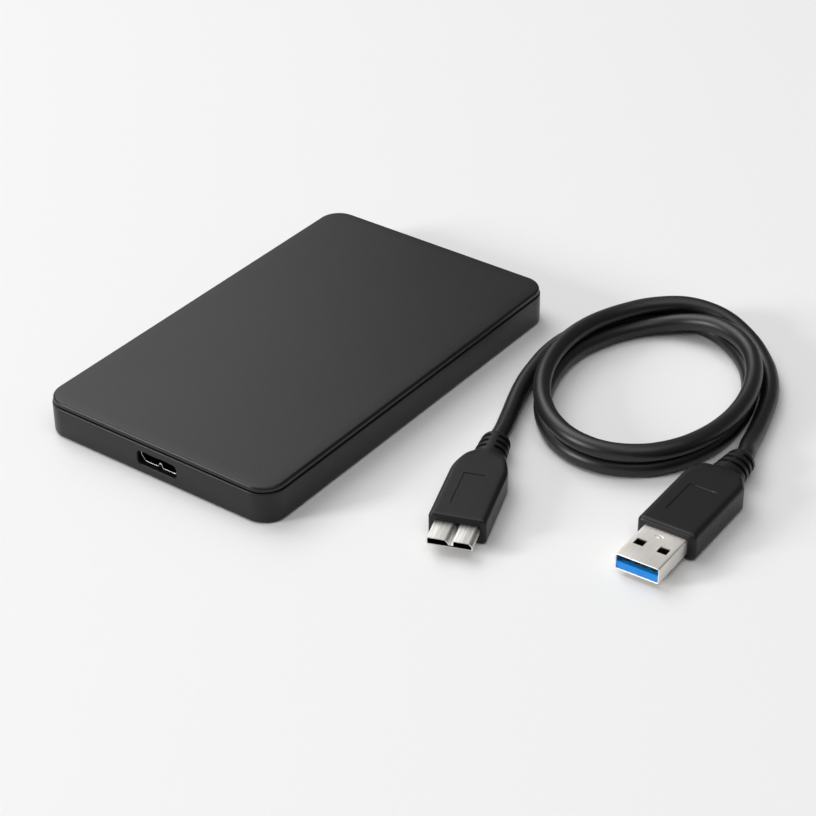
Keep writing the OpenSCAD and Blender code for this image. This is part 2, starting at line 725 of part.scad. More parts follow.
module voice_coil() color("#b06a32") arm_frame() translate([0, 0, coil_z]) difference() {
    ring_sector(coil_inner, coil_outer, 180 - coil_half_angle, 180 + coil_half_angle, coil_thickness);
    translate([0, 0, -over])
        ring_sector(coil_inner + 2.5, coil_outer - 2.2, 180 - coil_half_angle + 8, 180 + coil_half_angle - 8,
            coil_thickness + 2 * over);
}

module read_heads() color("#3c3c40") arm_frame()
    for (z = [upper_blade_z - slider_thickness, lower_blade_z + blade_thickness])
        translate([arm_length - 0.6, -0.5, z]) cube([1.2, 1, slider_thickness]);

module pivot_post() color("#9ea0a2") translate([pivot_centre[0], pivot_centre[1], drive_floor + board_pocket])
    cylinder(r = pivot_radius, h = casting_top - 0.3 - drive_floor - board_pocket);

module yoke_plan(height) ring_sector(arm_hub_radius + 1, yoke_outer, yoke_middle_angle - yoke_half_angle,
    yoke_middle_angle + yoke_half_angle, height);

module magnet_yokes() color("#8a8c8e") intersection() {
    translate([pivot_centre[0], pivot_centre[1], 0]) {
        translate([0, 0, casting_inner_floor]) yoke_plan(yoke_thickness);
        translate([0, 0, upper_yoke_z]) yoke_plan(yoke_thickness);
        for (side = [-1, 1]) rotate(yoke_middle_angle + side * yoke_post_half_angle)
            translate([yoke_post_reach, 0, casting_inner_floor])
                cylinder(r = yoke_post_radius, h = casting_top - 0.1 - casting_inner_floor);
    }
    chamber(0.2, casting_inner_floor - over, drive_height);
}

module coil_magnets() color("#6f7174") translate([pivot_centre[0], pivot_centre[1], 0])
    for (z = [lower_yoke_top, upper_yoke_z - magnet_thickness])
        translate([0, 0, z]) ring_sector(coil_inner + 1, coil_outer - 0.6,
            yoke_middle_angle - magnet_half_angle, yoke_middle_angle + magnet_half_angle, magnet_thickness);

module parking_ramp() color("#e6e0d0") intersection() {
    ramp_gap = 0.15;
    ramp_z = lower_blade_z + blade_thickness + ramp_gap;
    ramp_height = upper_blade_z - ramp_gap - ramp_z;
    translate([pivot_centre[0], pivot_centre[1], 0]) {
        translate([0, 0, ramp_z]) ring_sector(arm_length + 1, arm_length + 4.2, arm_park_angle - 2,
            arm_park_angle + 4, ramp_height);
        translate([0, 0, casting_inner_floor]) ring_sector(arm_length + lift_tab + 1, arm_length + 6.5,
            arm_park_angle - 2, arm_park_angle + 4, ramp_z + ramp_height - casting_inner_floor);
    }
    chamber(0.2, casting_inner_floor - over, drive_height);
}

module air_filter() color("#f0efe9") {
    filter_size = [5, 2.5];
    translate([chamber_side - filter_size[0] - 1, disk_centre[1] - 30, casting_inner_floor])
        cube([filter_size[0], filter_size[1], casting_top - casting_inner_floor - 0.3]);
}

// Tube swept along the cable's route, one ring of points at each route point
module lead_cable() {
    count = len(cable_route);
    rings = [for (k = [0 : count - 1])
        let (dir = along(cable_route, k), across = unit(cross(dir, [0, 0, 1])), up = cross(across, dir))
        for (s = [0 : cable_sides - 1])
            let (a = 360 * (s + 0.5) / cable_sides)
            cable_route[k] + cable_radius * (cos(a) * across + sin(a) * up)];
    walls = [for (k = [0 : count - 2], s = [0 : cable_sides - 1])
        let (t = (s + 1) % cable_sides, low = k * cable_sides, high = low + cable_sides)
        each [[low + s, low + t, high + t], [low + s, high + t, high + s]]];
    first_end = [[for (s = [cable_sides - 1 : -1 : 0]) s]];
    last_end = [[for (s = [0 : cable_sides - 1]) (count - 1) * cable_sides + s]];
    color("#262627") polyhedron(points = rings, faces = concat(walls, first_end, last_end));
}

// Moulded plug body in its own frame. Stations: [distance behind the mouth, half width]
module moulded_body(stations, thickness, edge) {
    hull() for (s = stations, x = [-1, 1], z = [-1, 1])
        translate([x * (s[1] - edge), s[0], z * (thickness / 2 - edge)]) sphere(r = edge, $fn = 24);
}

// Sleeve that eases the cable's bend, with three slots each side
module bend_sleeve(from_y, to_y, start_size, end_size, core) {
    slot = 1;
    pitch = 2.4;
    spine = 1;
    difference() {
        hull() {
            translate([0, from_y, 0]) rotate([-90, 0, 0]) resize([start_size[0], start_size[1], 1])
                cylinder(r = 1, h = 1, $fn = 32);
            translate([0, to_y - 1.2, 0]) rotate([-90, 0, 0]) resize([end_size[0], end_size[1], 0.2])
                cylinder(r = 1, h = 0.2, $fn = 32);
            translate([0, to_y - 0.1, 0]) rotate([-90, 0, 0])
                resize([end_size[0] - 1.2, end_size[1] - 1.2, 0.1]) cylinder(r = 1, h = 0.1, $fn = 32);
        }
        for (k = [0 : 2]) translate([0, to_y - 2.4 - k * pitch, 0]) difference() {
            union() for (side = [-1, 1])
                translate([side * (spine + start_size[0] / 2) - start_size[0] / 2, -slot / 2, -start_size[1]])
                    cube([start_size[0], slot, 2 * start_size[1]]);
            rotate([-90, 0, 0]) translate([0, 0, -slot]) cylinder(r = core, h = 2 * slot, $fn = 32);
        }
    }
}

// Shallow recess for the flat panel in a plug's top face
module panel_recess(width, from_y, to_y, top) {
    deep = 0.2;
    translate([-width / 2, from_y, top - deep]) cube([width, to_y - from_y, over]);
}

module drive_plug_body() color("#2f2f31") plug_frame(drive_plug_at, drive_plug_turn, drive_plug_z) {
    edge = 1.6;
    half = drive_plug_width / 2;
    front = drive_tip_length;
    difference() {
        union() {
            moulded_body([[front + edge, half], [drive_neck_start - 8.5, half],
                [drive_neck_start - 4.5, half - 0.9], [drive_neck_start - 1.5, half - 2.8]],
                drive_plug_thickness, edge);
            bend_sleeve(drive_neck_start - 2, drive_neck_end, [9, 6.8], [7.8, 6.6], 2.9);
        }
        translate([0, front, drive_tip_lift]) rotate([-90, 0, 0]) mirror([0, 1, 0])
            translate([0, 0, -over]) linear_extrude(embedded + over) tip_outline(0);
        panel_recess(6.6, 12.5, 26.2, drive_plug_thickness / 2);
    }
}

// Outline of the drive plug's tip: two joined lobes with a channel between them
module tip_outline(shrink) {
    w = drive_tip_width / 2 - shrink;
    h = drive_tip_height / 2 - shrink;
    n = 0.45 + shrink;
    cut = 0.8;
    floor_h = -drive_tip_height / 2 + 2 * plug_sheet + slip - shrink;
    polygon([[-w, -h], [w, -h], [w, h - cut], [w - cut, h], [notch_place + n, h],
        [notch_place + n, floor_h], [notch_place - n, floor_h], [notch_place - n, h - cut],
        [notch_place - n - cut, h], [-w, h]]);
}

module tip_frame() plug_frame(drive_plug_at, drive_plug_turn, drive_plug_z + drive_tip_lift)
    rotate([-90, 0, 0]) mirror([0, 1, 0]) children();

module drive_plug_tip() color("#c9c9c7") tip_frame()
    difference() {
        linear_extrude(drive_tip_length + embedded) tip_outline(0);
        translate([0, 0, -over]) linear_extrude(drive_tip_length + embedded + 2 * over)
            tip_outline(plug_sheet);
    }

module drive_plug_insert() color("#151516") tip_frame()
    translate([0, 0, insert_setback])
        linear_extrude(drive_tip_length + embedded - insert_setback) tip_outline(plug_sheet);

module computer_plug_body() color("#2f2f31")
plug_frame(computer_plug_at, computer_plug_turn, computer_plug_z) {
    edge = 1.6;
    half = computer_plug_width / 2;
    front = computer_shell_length;
    difference() {
        union() {
            moulded_body([[front + edge, half], [computer_neck_start - 5.5, half],
                [computer_neck_start - 0.8, half - 3.5]], computer_plug_thickness, edge);
            bend_sleeve(computer_neck_start - 3, computer_neck_end, [10, 7.4], [7.6, 6.6], 2.9);
        }
        translate([-computer_shell_width / 2, front - over, -computer_shell_height / 2])
            cube([computer_shell_width, embedded + over, computer_shell_height]);
        panel_recess(7.8, 20.3, 33.3, computer_plug_thickness / 2);
    }
}

module computer_plug_shell() {
    window = [2.5, 2.3];
    window_x = 3.2;
    window_y = 7.1;
    w = computer_shell_width;
    h = computer_shell_height;
    length = computer_shell_length + embedded;
    color("#d8d4ce") plug_frame(computer_plug_at, computer_plug_turn, computer_plug_z) difference() {
        translate([-w / 2, 0, -h / 2]) cube([w, length, h]);
        translate([-w / 2 + plug_sheet, -over, -h / 2 + plug_sheet])
            cube([w - 2 * plug_sheet, length + 2 * over, h - 2 * plug_sheet]);
        for (x = [-1, 1]) translate([x * window_x - window[0] / 2, window_y - window[1] / 2, -h])
            cube([window[0], window[1], 2 * h]);
    }
}

module computer_plug_tongue() {
    w = computer_shell_width - 2 * plug_sheet;
    h = computer_shell_height - 2 * plug_sheet;
    length = computer_shell_length + embedded;
    back = computer_shell_length - 5;
    color("#1f7fd0") plug_frame(computer_plug_at, computer_plug_turn, computer_plug_z) {
        translate([-w / 2, 0.3, -h / 2]) cube([w, length - 0.3, tongue_height]);
        translate([-w / 2, back, -h / 2]) cube([w, length - back, h]);
    }
}

module computer_plug_contacts() {
    thin = 0.12;
    top = -computer_shell_height / 2 + plug_sheet + tongue_height;
    color("#c8a24a") plug_frame(computer_plug_at, computer_plug_turn, computer_plug_z) {
        for (x = [-3.5, -1, 1, 3.5]) translate([x - 0.5, 1.4, top]) cube([1, 4, thin]);
        for (k = [-2 : 2]) translate([k * 2 - 0.35, 6.4, top]) cube([0.7, 1.8, thin]);
    }
}

lid();
tray();
bridge_board();
port_shell();
port_tongues();
port_contacts();
bridge_socket();
bridge_chip();
bridge_small_parts();
bridge_screws();
corner_bumpers();
lower_foam_strips();
upper_foam_strips();
drive_casting();
drive_cover();
cover_screws();
drive_connector();
drive_board();
drive_board_chips();
drive_board_screws();
spindle_motor();
spindle_hub();
disk();
disk_clamp();
head_arm();
voice_coil();
read_heads();
pivot_post();
magnet_yokes();
coil_magnets();
parking_ramp();
air_filter();
lead_cable();
drive_plug_body();
drive_plug_tip();
drive_plug_insert();
computer_plug_body();
computer_plug_shell();
computer_plug_tongue();
computer_plug_contacts();
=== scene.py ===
# Pocket external hard drive in a dark moulded case, with its own black lead coiled beside it.
import math
import bpy
import bmesh
import numpy as np
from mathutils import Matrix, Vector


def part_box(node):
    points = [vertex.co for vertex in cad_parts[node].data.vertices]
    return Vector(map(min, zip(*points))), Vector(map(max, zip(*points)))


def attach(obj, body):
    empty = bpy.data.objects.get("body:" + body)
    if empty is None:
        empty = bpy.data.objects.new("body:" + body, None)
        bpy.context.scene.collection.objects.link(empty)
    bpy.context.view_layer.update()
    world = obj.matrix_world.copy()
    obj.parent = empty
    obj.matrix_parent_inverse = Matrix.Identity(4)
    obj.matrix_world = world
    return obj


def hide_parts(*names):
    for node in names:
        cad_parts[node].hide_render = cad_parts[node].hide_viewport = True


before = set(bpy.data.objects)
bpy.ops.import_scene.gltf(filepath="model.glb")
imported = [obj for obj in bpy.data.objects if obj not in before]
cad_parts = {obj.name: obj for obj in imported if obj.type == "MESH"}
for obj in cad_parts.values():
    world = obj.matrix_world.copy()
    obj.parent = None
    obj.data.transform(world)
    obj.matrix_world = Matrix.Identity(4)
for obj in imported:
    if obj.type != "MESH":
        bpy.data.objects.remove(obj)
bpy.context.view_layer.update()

# Camera
# A long lens looks down on the drive's front right corner, and the whole lead lies inside its view.
# The heading turns left from +Y, the pitch looks down and the roll leans the picture, all in radians.
MM = 0.001
scene = bpy.context.scene
camera_place = np.array([346.719, -422.771, 350.202]) * MM
camera_heading = 0.636
camera_pitch = 0.586
camera_roll = -0.008
lens_mm = 104.97
sensor_mm = 36.0


def facing(right, up, back, place):
    """Matrix of an object at a place, with its own X, Y and Z along right, up and back."""
    matrix = np.eye(4)
    matrix[:3] = np.stack([right, up, back, place], axis=1)
    return matrix.T.tolist()


forward = np.array([
    -math.sin(camera_heading) * math.cos(camera_pitch),
    math.cos(camera_heading) * math.cos(camera_pitch),
    -math.sin(camera_pitch),
])
level_right = np.array([math.cos(camera_heading), math.sin(camera_heading), 0.0])
level_up = np.cross(level_right, forward)
camera_right = math.cos(camera_roll) * level_right + math.sin(camera_roll) * level_up
camera_up = math.cos(camera_roll) * level_up - math.sin(camera_roll) * level_right

camera_data = bpy.data.cameras.new("camera")
camera_data.lens = lens_mm
camera_data.sensor_width = sensor_mm
camera_data.clip_start = 0.01
camera_data.clip_end = 20.0
camera = bpy.data.objects.new("camera", camera_data)
scene.collection.objects.link(camera)
camera.matrix_world = facing(camera_right, camera_up, -forward, camera_place)
scene.camera = camera
scene.view_settings.view_transform = "Standard"


# Lead cable
# A round cable of twisted wires in an extruded jacket of satin black PVC, moulded into a plug at each end.
# It leaves the drive plug, turns clockwise two and a half times round an oval, one turn resting on the next,
# and ends in the computer plug.
cable_diameter = 4.8

# Each plug is placed by the middle of its mouth. Its lift is half its grip's height, because it lies on the
# table, and its exit is how far behind the mouth the cable leaves it.
drive_plug_at = (80.4, -45.7)
drive_plug_turn = math.radians(20.2)
drive_plug_lift = 3.6
drive_plug_exit = 47.1
computer_plug_at = (122.2, -27.3)
computer_plug_turn = math.radians(2.3)
computer_plug_lift = 3.9
computer_plug_exit = 55.0

# A stop is an angle round the oval in degrees, and what is added to the oval's radius there, or how high
# the cable's middle lies.
oval_centre = (82.8, 42.4)
oval_long = 37.2
oval_short = 27.0
oval_turn = math.radians(104.0)
coil_start, coil_end, coil_step = 195.0, -720.0, 15.0
start_points = [(62.3, 4.1, 3.3), (59.1, 12.0, 2.6), (55.9, 20.0, 2.4), (53.4, 27.5, 2.4)]
end_points = [(117.6, 35.0, 3.0)]
reach_stops = [(-740, 9), (-712, 4.6), (-658, 4.8), (-586, 0), (-308, 0), (-252, -3.6), (-228, -3),
               (-180, -1), (-120, -0.2), (-30, -0.6), (72, -0.8), (132, 2.2), (172, 4.8), (200, 5)]
height_stops = [(-740, 2.4), (-662, 2.4), (-616, 7.3), (-606, 7.3), (-588, 6.9), (-540, 7.3),
                (-282, 7.3), (-228, 2.4), (215, 2.4)]
steps_per_point = 8
jacket_sides = 24
sharp_degrees = 35.0


def eased(stops, angles):
    """Value between two stops: it follows 3t^2 - 2t^3 of the share t of the way between them."""
    places = np.array([stop[0] for stop in stops], float)
    values = np.array([stop[1] for stop in stops], float)
    k = np.clip(np.searchsorted(places, angles, side="right") - 1, 0, len(stops) - 2)
    t = (angles - places[k]) / (places[k + 1] - places[k])
    return values[k] + (values[k + 1] - values[k]) * t * t * (3 - 2 * t)


def plug_point(at, turn, across, behind, up):
    """Point of a plug's own frame: across its width, behind its mouth and up, turned onto the table."""
    x = at[0] + across * np.cos(turn) - behind * np.sin(turn)
    y = at[1] + across * np.sin(turn) + behind * np.cos(turn)
    return np.stack(np.broadcast_arrays(x, y, up), axis=-1)


def cable_route():
    """Route of the cable: plug, listed points, coil, one more point, plug. The coil is an oval with
    half sides a and b, so its radius is ab / length of (b cos, a sin), and what the stops add to that."""
    degrees = np.arange(coil_start, coil_end - 1, -coil_step)
    a = np.radians(degrees)
    from_long = a - oval_turn
    radius = oval_long * oval_short / np.hypot(oval_short * np.cos(from_long), oval_long * np.sin(from_long))
    radius = radius + eased(reach_stops, degrees)
    coil = np.stack([oval_centre[0] + radius * np.cos(a), oval_centre[1] + radius * np.sin(a),
                     eased(height_stops, degrees)], axis=1)
    first = plug_point(drive_plug_at, drive_plug_turn, 0.0, drive_plug_exit, drive_plug_lift)
    last = plug_point(computer_plug_at, computer_plug_turn, 0.0, computer_plug_exit, computer_plug_lift)
    return np.vstack([first, start_points, coil, end_points, last]) * MM


def smooth_path(points, steps, first_way, last_way):
    """Curve through the points: each stretch is a cubic, and its slope at a point is half the chord between
    that point's neighbours."""
    slopes = np.empty_like(points)
    slopes[1:-1] = (points[2:] - points[:-2]) / 2
    slopes[0] = first_way * np.linalg.norm(points[1] - points[0])
    slopes[-1] = last_way * np.linalg.norm(points[-1] - points[-2])
    t = np.linspace(0, 1, steps, endpoint=False)[None, :, None]
    start, end = points[:-1, None], points[1:, None]
    start_slope, end_slope = slopes[:-1, None], slopes[1:, None]
    curve = ((2 * t**3 - 3 * t**2 + 1) * start + (t**3 - 2 * t**2 + t) * start_slope
             + (3 * t**2 - 2 * t**3) * end + (t**3 - t**2) * end_slope)
    return np.vstack([curve.reshape(-1, 3), points[-1:]])


def bands(count, sides, closed=False):
    """Four-sided faces between each ring of points and the next, and from the last to the first if closed."""
    k = np.arange(count if closed else count - 1)[:, None] * sides
    after = (k + sides) % (count * sides)
    s = np.arange(sides)[None, :]
    t = (s + 1) % sides
    return np.stack([k + s, k + t, after + t, after + s], axis=-1).reshape(-1, 4).tolist()


def new_piece(name, points, faces, sharpest=sharp_degrees):
    """Closed piece with its faces turned outwards, shaded smooth but for edges sharper than an angle."""
    mesh = bpy.data.meshes.new(name)
    mesh.from_pydata(points.reshape(-1, 3).tolist(), [], faces)
    work = bmesh.new()
    work.from_mesh(mesh)
    bmesh.ops.recalc_face_normals(work, faces=work.faces)
    work.to_mesh(mesh)
    work.free()
    mesh.polygons.foreach_set("use_smooth", np.ones(len(mesh.polygons), bool))
    mesh.set_sharp_from_angle(angle=math.radians(sharpest))
    piece = bpy.data.objects.new(name, mesh)
    scene.collection.objects.link(piece)
    return piece


def ring_surface(name, rings, sharpest=sharp_degrees):
    """Surface through rings of points: bands of faces between the rings, and a flat face on each end ring."""
    count, sides = rings.shape[:2]
    ends = [list(range(sides))[::-1], list(range((count - 1) * sides, count * sides))]
    return new_piece(name, rings, bands(count, sides) + ends, sharpest)


def tube_along(name, path, radius, sides):
    """Tube: a circle of the radius carried along the path, level across and upright, with no twist."""
    ways = np.gradient(path, axis=0)
    ways /= np.linalg.norm(ways, axis=1)[:, None]
    across = np.cross(ways, [0.0, 0.0, 1.0])
    across /= np.linalg.norm(across, axis=1)[:, None]
    up = np.cross(across, ways)
    a = np.linspace(0, 2 * np.pi, sides, endpoint=False)[None, :, None]
    circles = radius * (np.cos(a) * across[:, None] + np.sin(a) * up[:, None])
    return ring_surface(name, path[:, None] + circles)


def colour(code):
    """Linear colour of an sRGB hex value such as "#3a3a3c"."""
    parts = np.array([int(code[k:k + 2], 16) for k in (1, 3, 5)]) / 255
    linear = np.where(parts <= 0.04045, parts / 12.92, ((parts + 0.055) / 1.055) ** 2.4)
    return (*linear.tolist(), 1.0)


def per_metre(size_mm):
    """Scale of a pattern with features of this size: how many of them make a metre."""
    return 1 / (size_mm * MM)


def add_node(tree, kind, inputs=None, **settings):
    """Adds one node. Settings are its own options, and inputs are values or other nodes' outputs."""
    node = tree.nodes.new(kind)
    for name, value in settings.items():
        setattr(node, name, value)
    for name, value in (inputs or {}).items():
        if isinstance(value, bpy.types.NodeSocket):
            tree.links.new(value, node.inputs[name])
        else:
            node.inputs[name].default_value = value
    return node


def new_material(name):
    """Empty node material with its output, and the Object coordinates that every pattern reads."""
    material = bpy.data.materials.new(name)
    material.use_nodes = True
    material.node_tree.nodes.clear()
    output = add_node(material.node_tree, "ShaderNodeOutputMaterial")
    place = add_node(material.node_tree, "ShaderNodeTexCoord").outputs["Object"]
    return material, material.node_tree, output, place


def dress(piece, material):
    """Gives a piece one material."""
    piece.data.materials.clear()
    piece.data.materials.append(material)


def cable_jacket():
    """Extruded soft PVC: satin black, with faint waves along it and a broad soft highlight."""
    wave_mm = 4.5
    grain_mm = 0.4
    material, tree, output, place = new_material("satin_pvc_jacket")
    waves = add_node(tree, "ShaderNodeTexNoise", {
        "Vector": place, "Scale": per_metre(wave_mm), "Detail": 3.0})
    grain = add_node(tree, "ShaderNodeTexNoise", {
        "Vector": place, "Scale": per_metre(grain_mm), "Detail": 2.0})
    tone = add_node(tree, "ShaderNodeValToRGB", {"Fac": waves.outputs["Fac"]})
    tone.color_ramp.elements[0].color = colour("#060606")
    tone.color_ramp.elements[1].color = colour("#0a0a0b")
    gloss = add_node(tree, "ShaderNodeMapRange", {
        "Value": waves.outputs["Fac"], "To Min": 0.38, "To Max": 0.46})
    bump = add_node(tree, "ShaderNodeBump", {
        "Height": grain.outputs["Fac"], "Strength": 0.12, "Distance": 0.1 * MM})
    shader = add_node(tree, "ShaderNodeBsdfPrincipled", {
        "Base Color": tone.outputs["Color"], "Roughness": gloss.outputs["Result"], "IOR": 1.53,
        "Normal": bump.outputs["Normal"]})
    tree.links.new(shader.outputs["BSDF"], output.inputs["Surface"])
    return material


drive_plug_way = plug_point((0, 0), drive_plug_turn, 0.0, 1.0, 0.0)
computer_plug_way = -plug_point((0, 0), computer_plug_turn, 0.0, 1.0, 0.0)
cable_points = smooth_path(cable_route(), steps_per_point, drive_plug_way, computer_plug_way)
cable_points[:, 2] = np.maximum(cable_points[:, 2], cable_diameter / 2 * MM)
cable = tube_along("cable", cable_points, cable_diameter / 2 * MM, jacket_sides)
dress(cable, cable_jacket())
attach(cable, "root")
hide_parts("lead_cable")


# Table
# A table covered with plain matt paper. The drive and its lead lie on it, and it runs past the picture's
# edges on every side.
paper_half = 2.5


def studio_paper():
    """Matt off-white paper, even all over, with its fibres barely seen."""
    fibre_clump_mm = 1.1
    material, tree, output, place = new_material("matt_white_paper")
    fibres = add_node(tree, "ShaderNodeTexNoise", {
        "Vector": place, "Scale": per_metre(fibre_clump_mm), "Detail": 4.0})
    tone = add_node(tree, "ShaderNodeValToRGB", {"Fac": fibres.outputs["Fac"]})
    tone.color_ramp.elements[0].color = colour("#eeeeee")
    tone.color_ramp.elements[1].color = colour("#f1f1f1")
    shader = add_node(tree, "ShaderNodeBsdfDiffuse", {"Color": tone.outputs["Color"]})
    tree.links.new(shader.outputs["BSDF"], output.inputs["Surface"])
    return material


table_mesh = bpy.data.meshes.new("table")
table_mesh.from_pydata(
    [(x * paper_half, y * paper_half, 0) for x, y in ((-1, -1), (1, -1), (1, 1), (-1, 1))],
    [], [(0, 1, 2, 3)])
table = bpy.data.objects.new("table", table_mesh)
scene.collection.objects.link(table)
dress(table, studio_paper())


# Light
# A pale room. The key softbox at the left gives the shadows on the right, a smaller one at the front left
# draws the bright line along the lid's front edge, one high above evens the table, and one behind shows as
# a soft reflection in the steel and the satin black.
room_strength = 0.16
light_target = np.array([0.05, 0.0, 0.0])
world = bpy.data.worlds.new("studio")
world.use_nodes = True
scene.world = world
world.node_tree.nodes.clear()
room = add_node(world.node_tree, "ShaderNodeBackground", {
    "Color": colour("#ffffff"), "Strength": room_strength})
add_node(world.node_tree, "ShaderNodeOutputWorld", {"Surface": room.outputs["Background"]})


def softbox(name, place, width, watts):
    """Square lamp, placed and sized in metres and turned to face the target."""
    lamp = bpy.data.lights.new(name, "AREA")
    lamp.size = width
    lamp.energy = watts
    holder = bpy.data.objects.new(name, lamp)
    scene.collection.objects.link(holder)
    away = (place - light_target) / np.linalg.norm(place - light_target)
    side = np.cross([0.0, 0.0, 1.0], away)
    side /= np.linalg.norm(side)
    holder.matrix_world = facing(side, np.cross(away, side), away, place)
    holder.visible_camera = False


softbox("key_softbox", (-1.95, 0.3, 2.7), 2.6, 63.0)
softbox("front_left_softbox", (-1.0, -1.4, 0.58), 0.45, 20.0)
softbox("top_softbox", (0.5, -0.3, 1.7), 1.5, 10.5)
softbox("back_softbox", (-1.16, 0.9, 1.0), 0.8, 3.0)


# Case lid
# The upper moulding of dark ABS: a flat panel with a rounded edge, and a thin skirt under it that snaps
# inside the tray's walls. Its profile is given as (inset from the case's side, height).
case_half_x, case_half_y, tray_top = np.array(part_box("tray")[1]) / MM
lid_low, lid_high = (np.array(corner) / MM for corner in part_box("lid"))
corner_radius = 6.6
corner_steps = 14
smallest_round = 0.2
case_wall = 1.6
centre_inset = 6.2
lid_top = lid_high[2]
lid_height = 1.4
lid_foot = lid_top - lid_height
lid_inset = case_half_x - lid_high[0]
lid_round = 0.7
lid_foot_round = 0.1
lid_flat_inset = 4.0
lid_thickness = 1.1
snap_gap = 0.15
skirt_wall = 0.8
skirt_foot = lid_low[2]
skirt_out = case_wall + snap_gap
skirt_in = skirt_out + skirt_wall


def rounded_rectangle(half_width, half_height, radius, steps):
    """Rounded rectangle: at each corner a quarter circle of the radius, about a middle the radius inside."""
    turns = (np.arange(4)[:, None] * np.pi / 2 + np.linspace(0, np.pi / 2, steps)[None, :]).ravel()
    signs_x = np.repeat([1, -1, -1, 1], steps)
    signs_y = np.repeat([1, 1, -1, -1], steps)
    x = signs_x * (half_width - radius) + radius * np.cos(turns)
    y = signs_y * (half_height - radius) + radius * np.sin(turns)
    return x, y


def case_rings(profile):
    """One ring for each inset and height of a profile: the case's outline, moved in by the inset."""
    inset, height = profile[:, :1], profile[:, 1:]
    radius = np.maximum(corner_radius - inset, smallest_round)
    x, y = rounded_rectangle(case_half_x - inset, case_half_y - inset, radius, corner_steps)
    return np.stack(np.broadcast_arrays(x, y, height), axis=-1) * MM


def arc(inset_0, z_0, inset_1, z_1, steps):
    """Quarter of an ellipse between two points of a profile, upright at the first and level at the second."""
    a = np.linspace(0, np.pi / 2, steps)
    inset = inset_0 + (inset_1 - inset_0) * (1 - np.cos(a))
    height = z_0 + (z_1 - z_0) * np.sin(a)
    return np.stack([inset, height], axis=1)


def grained_moulding(name, dark, light, grain_mm, smoothness):
    """Matt moulded or pressed material, such as spark-textured ABS: the grain breaks up the highlight, and
    the tone and gloss vary in faint clouds. Grain too fine to show is drawn as coarse as it needs to be."""
    cloud_mm = 22.0
    grain_depth = 0.12
    gloss_spread = 0.03
    material, tree, output, place = new_material(name)
    grain = add_node(tree, "ShaderNodeTexNoise", {
        "Vector": place, "Scale": per_metre(grain_mm), "Detail": 2.0, "Roughness": 0.6})
    clouds = add_node(tree, "ShaderNodeTexNoise", {
        "Vector": place, "Scale": per_metre(cloud_mm), "Detail": 3.0})
    mixed = add_node(tree, "ShaderNodeMath", {
        0: grain.outputs["Fac"], 1: clouds.outputs["Fac"]}, operation="ADD")
    share = add_node(tree, "ShaderNodeMapRange", {
        "Value": mixed.outputs["Value"], "From Min": 0.6, "From Max": 1.4})
    tone = add_node(tree, "ShaderNodeValToRGB", {"Fac": share.outputs["Result"]})
    tone.color_ramp.elements[0].color = colour(dark)
    tone.color_ramp.elements[1].color = colour(light)
    gloss = add_node(tree, "ShaderNodeMapRange", {
        "Value": clouds.outputs["Fac"], "To Min": smoothness - gloss_spread,
        "To Max": smoothness + gloss_spread})
    bump = add_node(tree, "ShaderNodeBump", {
        "Height": grain.outputs["Fac"], "Strength": 0.42, "Distance": grain_mm * grain_depth * MM})
    shader = add_node(tree, "ShaderNodeBsdfPrincipled", {
        "Base Color": tone.outputs["Color"], "Roughness": gloss.outputs["Result"], "IOR": 1.42,
        "Normal": bump.outputs["Normal"]})
    tree.links.new(shader.outputs["BSDF"], output.inputs["Surface"])
    return material


case_abs = grained_moulding("spark_textured_abs", "#0d0d0e", "#151516", 0.6, 0.37)
lid = ring_surface("case_lid", case_rings(np.vstack([
    [(centre_inset, lid_top), (lid_flat_inset, lid_top)],
    arc(lid_inset, lid_top - lid_round, lid_inset + lid_round, lid_top, steps=10)[::-1],
    arc(lid_inset, lid_foot + lid_foot_round, lid_inset + lid_foot_round, lid_foot, steps=4),
    [(skirt_out, lid_foot), (skirt_out, skirt_foot), (skirt_in, skirt_foot),
     (skirt_in, lid_top - lid_thickness), (centre_inset, lid_top - lid_thickness)]])))
dress(lid, case_abs)
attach(lid, "root")
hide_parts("lid")


# Case tray
# The lower moulding of the same ABS, floor and walls in one, with a chamfered slot for the port in a short
# side. Two bosses on the floor take the bridge board's screws, and two stops hold the bare drive clear of
# that board.
floor_thickness = 1.1
base_round = 1.0
rim_round = 0.3
port_centre = (1.2, 4.9)
slot_width, slot_height, slot_round = 13.0, 4.0, 1.3
slot_chamfer = 0.25
slot_outside, slot_depth = 1.0, 3.0

# Bosses are placed out from the port's middle and back from the front wall, stops out from the case's
# middle, and both run a little way into the floor.
sunk = 0.2
boss_out = 21.0
boss_back = 6.0
boss_radius, boss_top = 2.3, 2.45
pilot_radius, pilot_top = 0.82, 3.0
stop_middle, stop_half = 30.925, 4.0
stop_front, stop_top = -43.55, 4.55
tray = ring_surface("case_tray", case_rings(np.vstack([
    [(centre_inset, 0.0)], arc(0.0, base_round, base_round, 0.0, steps=9)[::-1],
    arc(0.0, tray_top - rim_round, rim_round, tray_top, steps=6),
    [(case_wall, tray_top), (case_wall, floor_thickness), (centre_inset, floor_thickness)]])))


def slot_rings(places, growths):
    """Upright outlines of the port's rounded slot, at places along Y, each grown all round by an amount."""
    y, grow = np.array(places)[:, None], np.array(growths)[:, None]
    x, z = rounded_rectangle(slot_width / 2 + grow, slot_height / 2 + grow, slot_round + grow, steps=8)
    return np.stack(np.broadcast_arrays(port_centre[0] + x, y, port_centre[1] + z), axis=-1) * MM


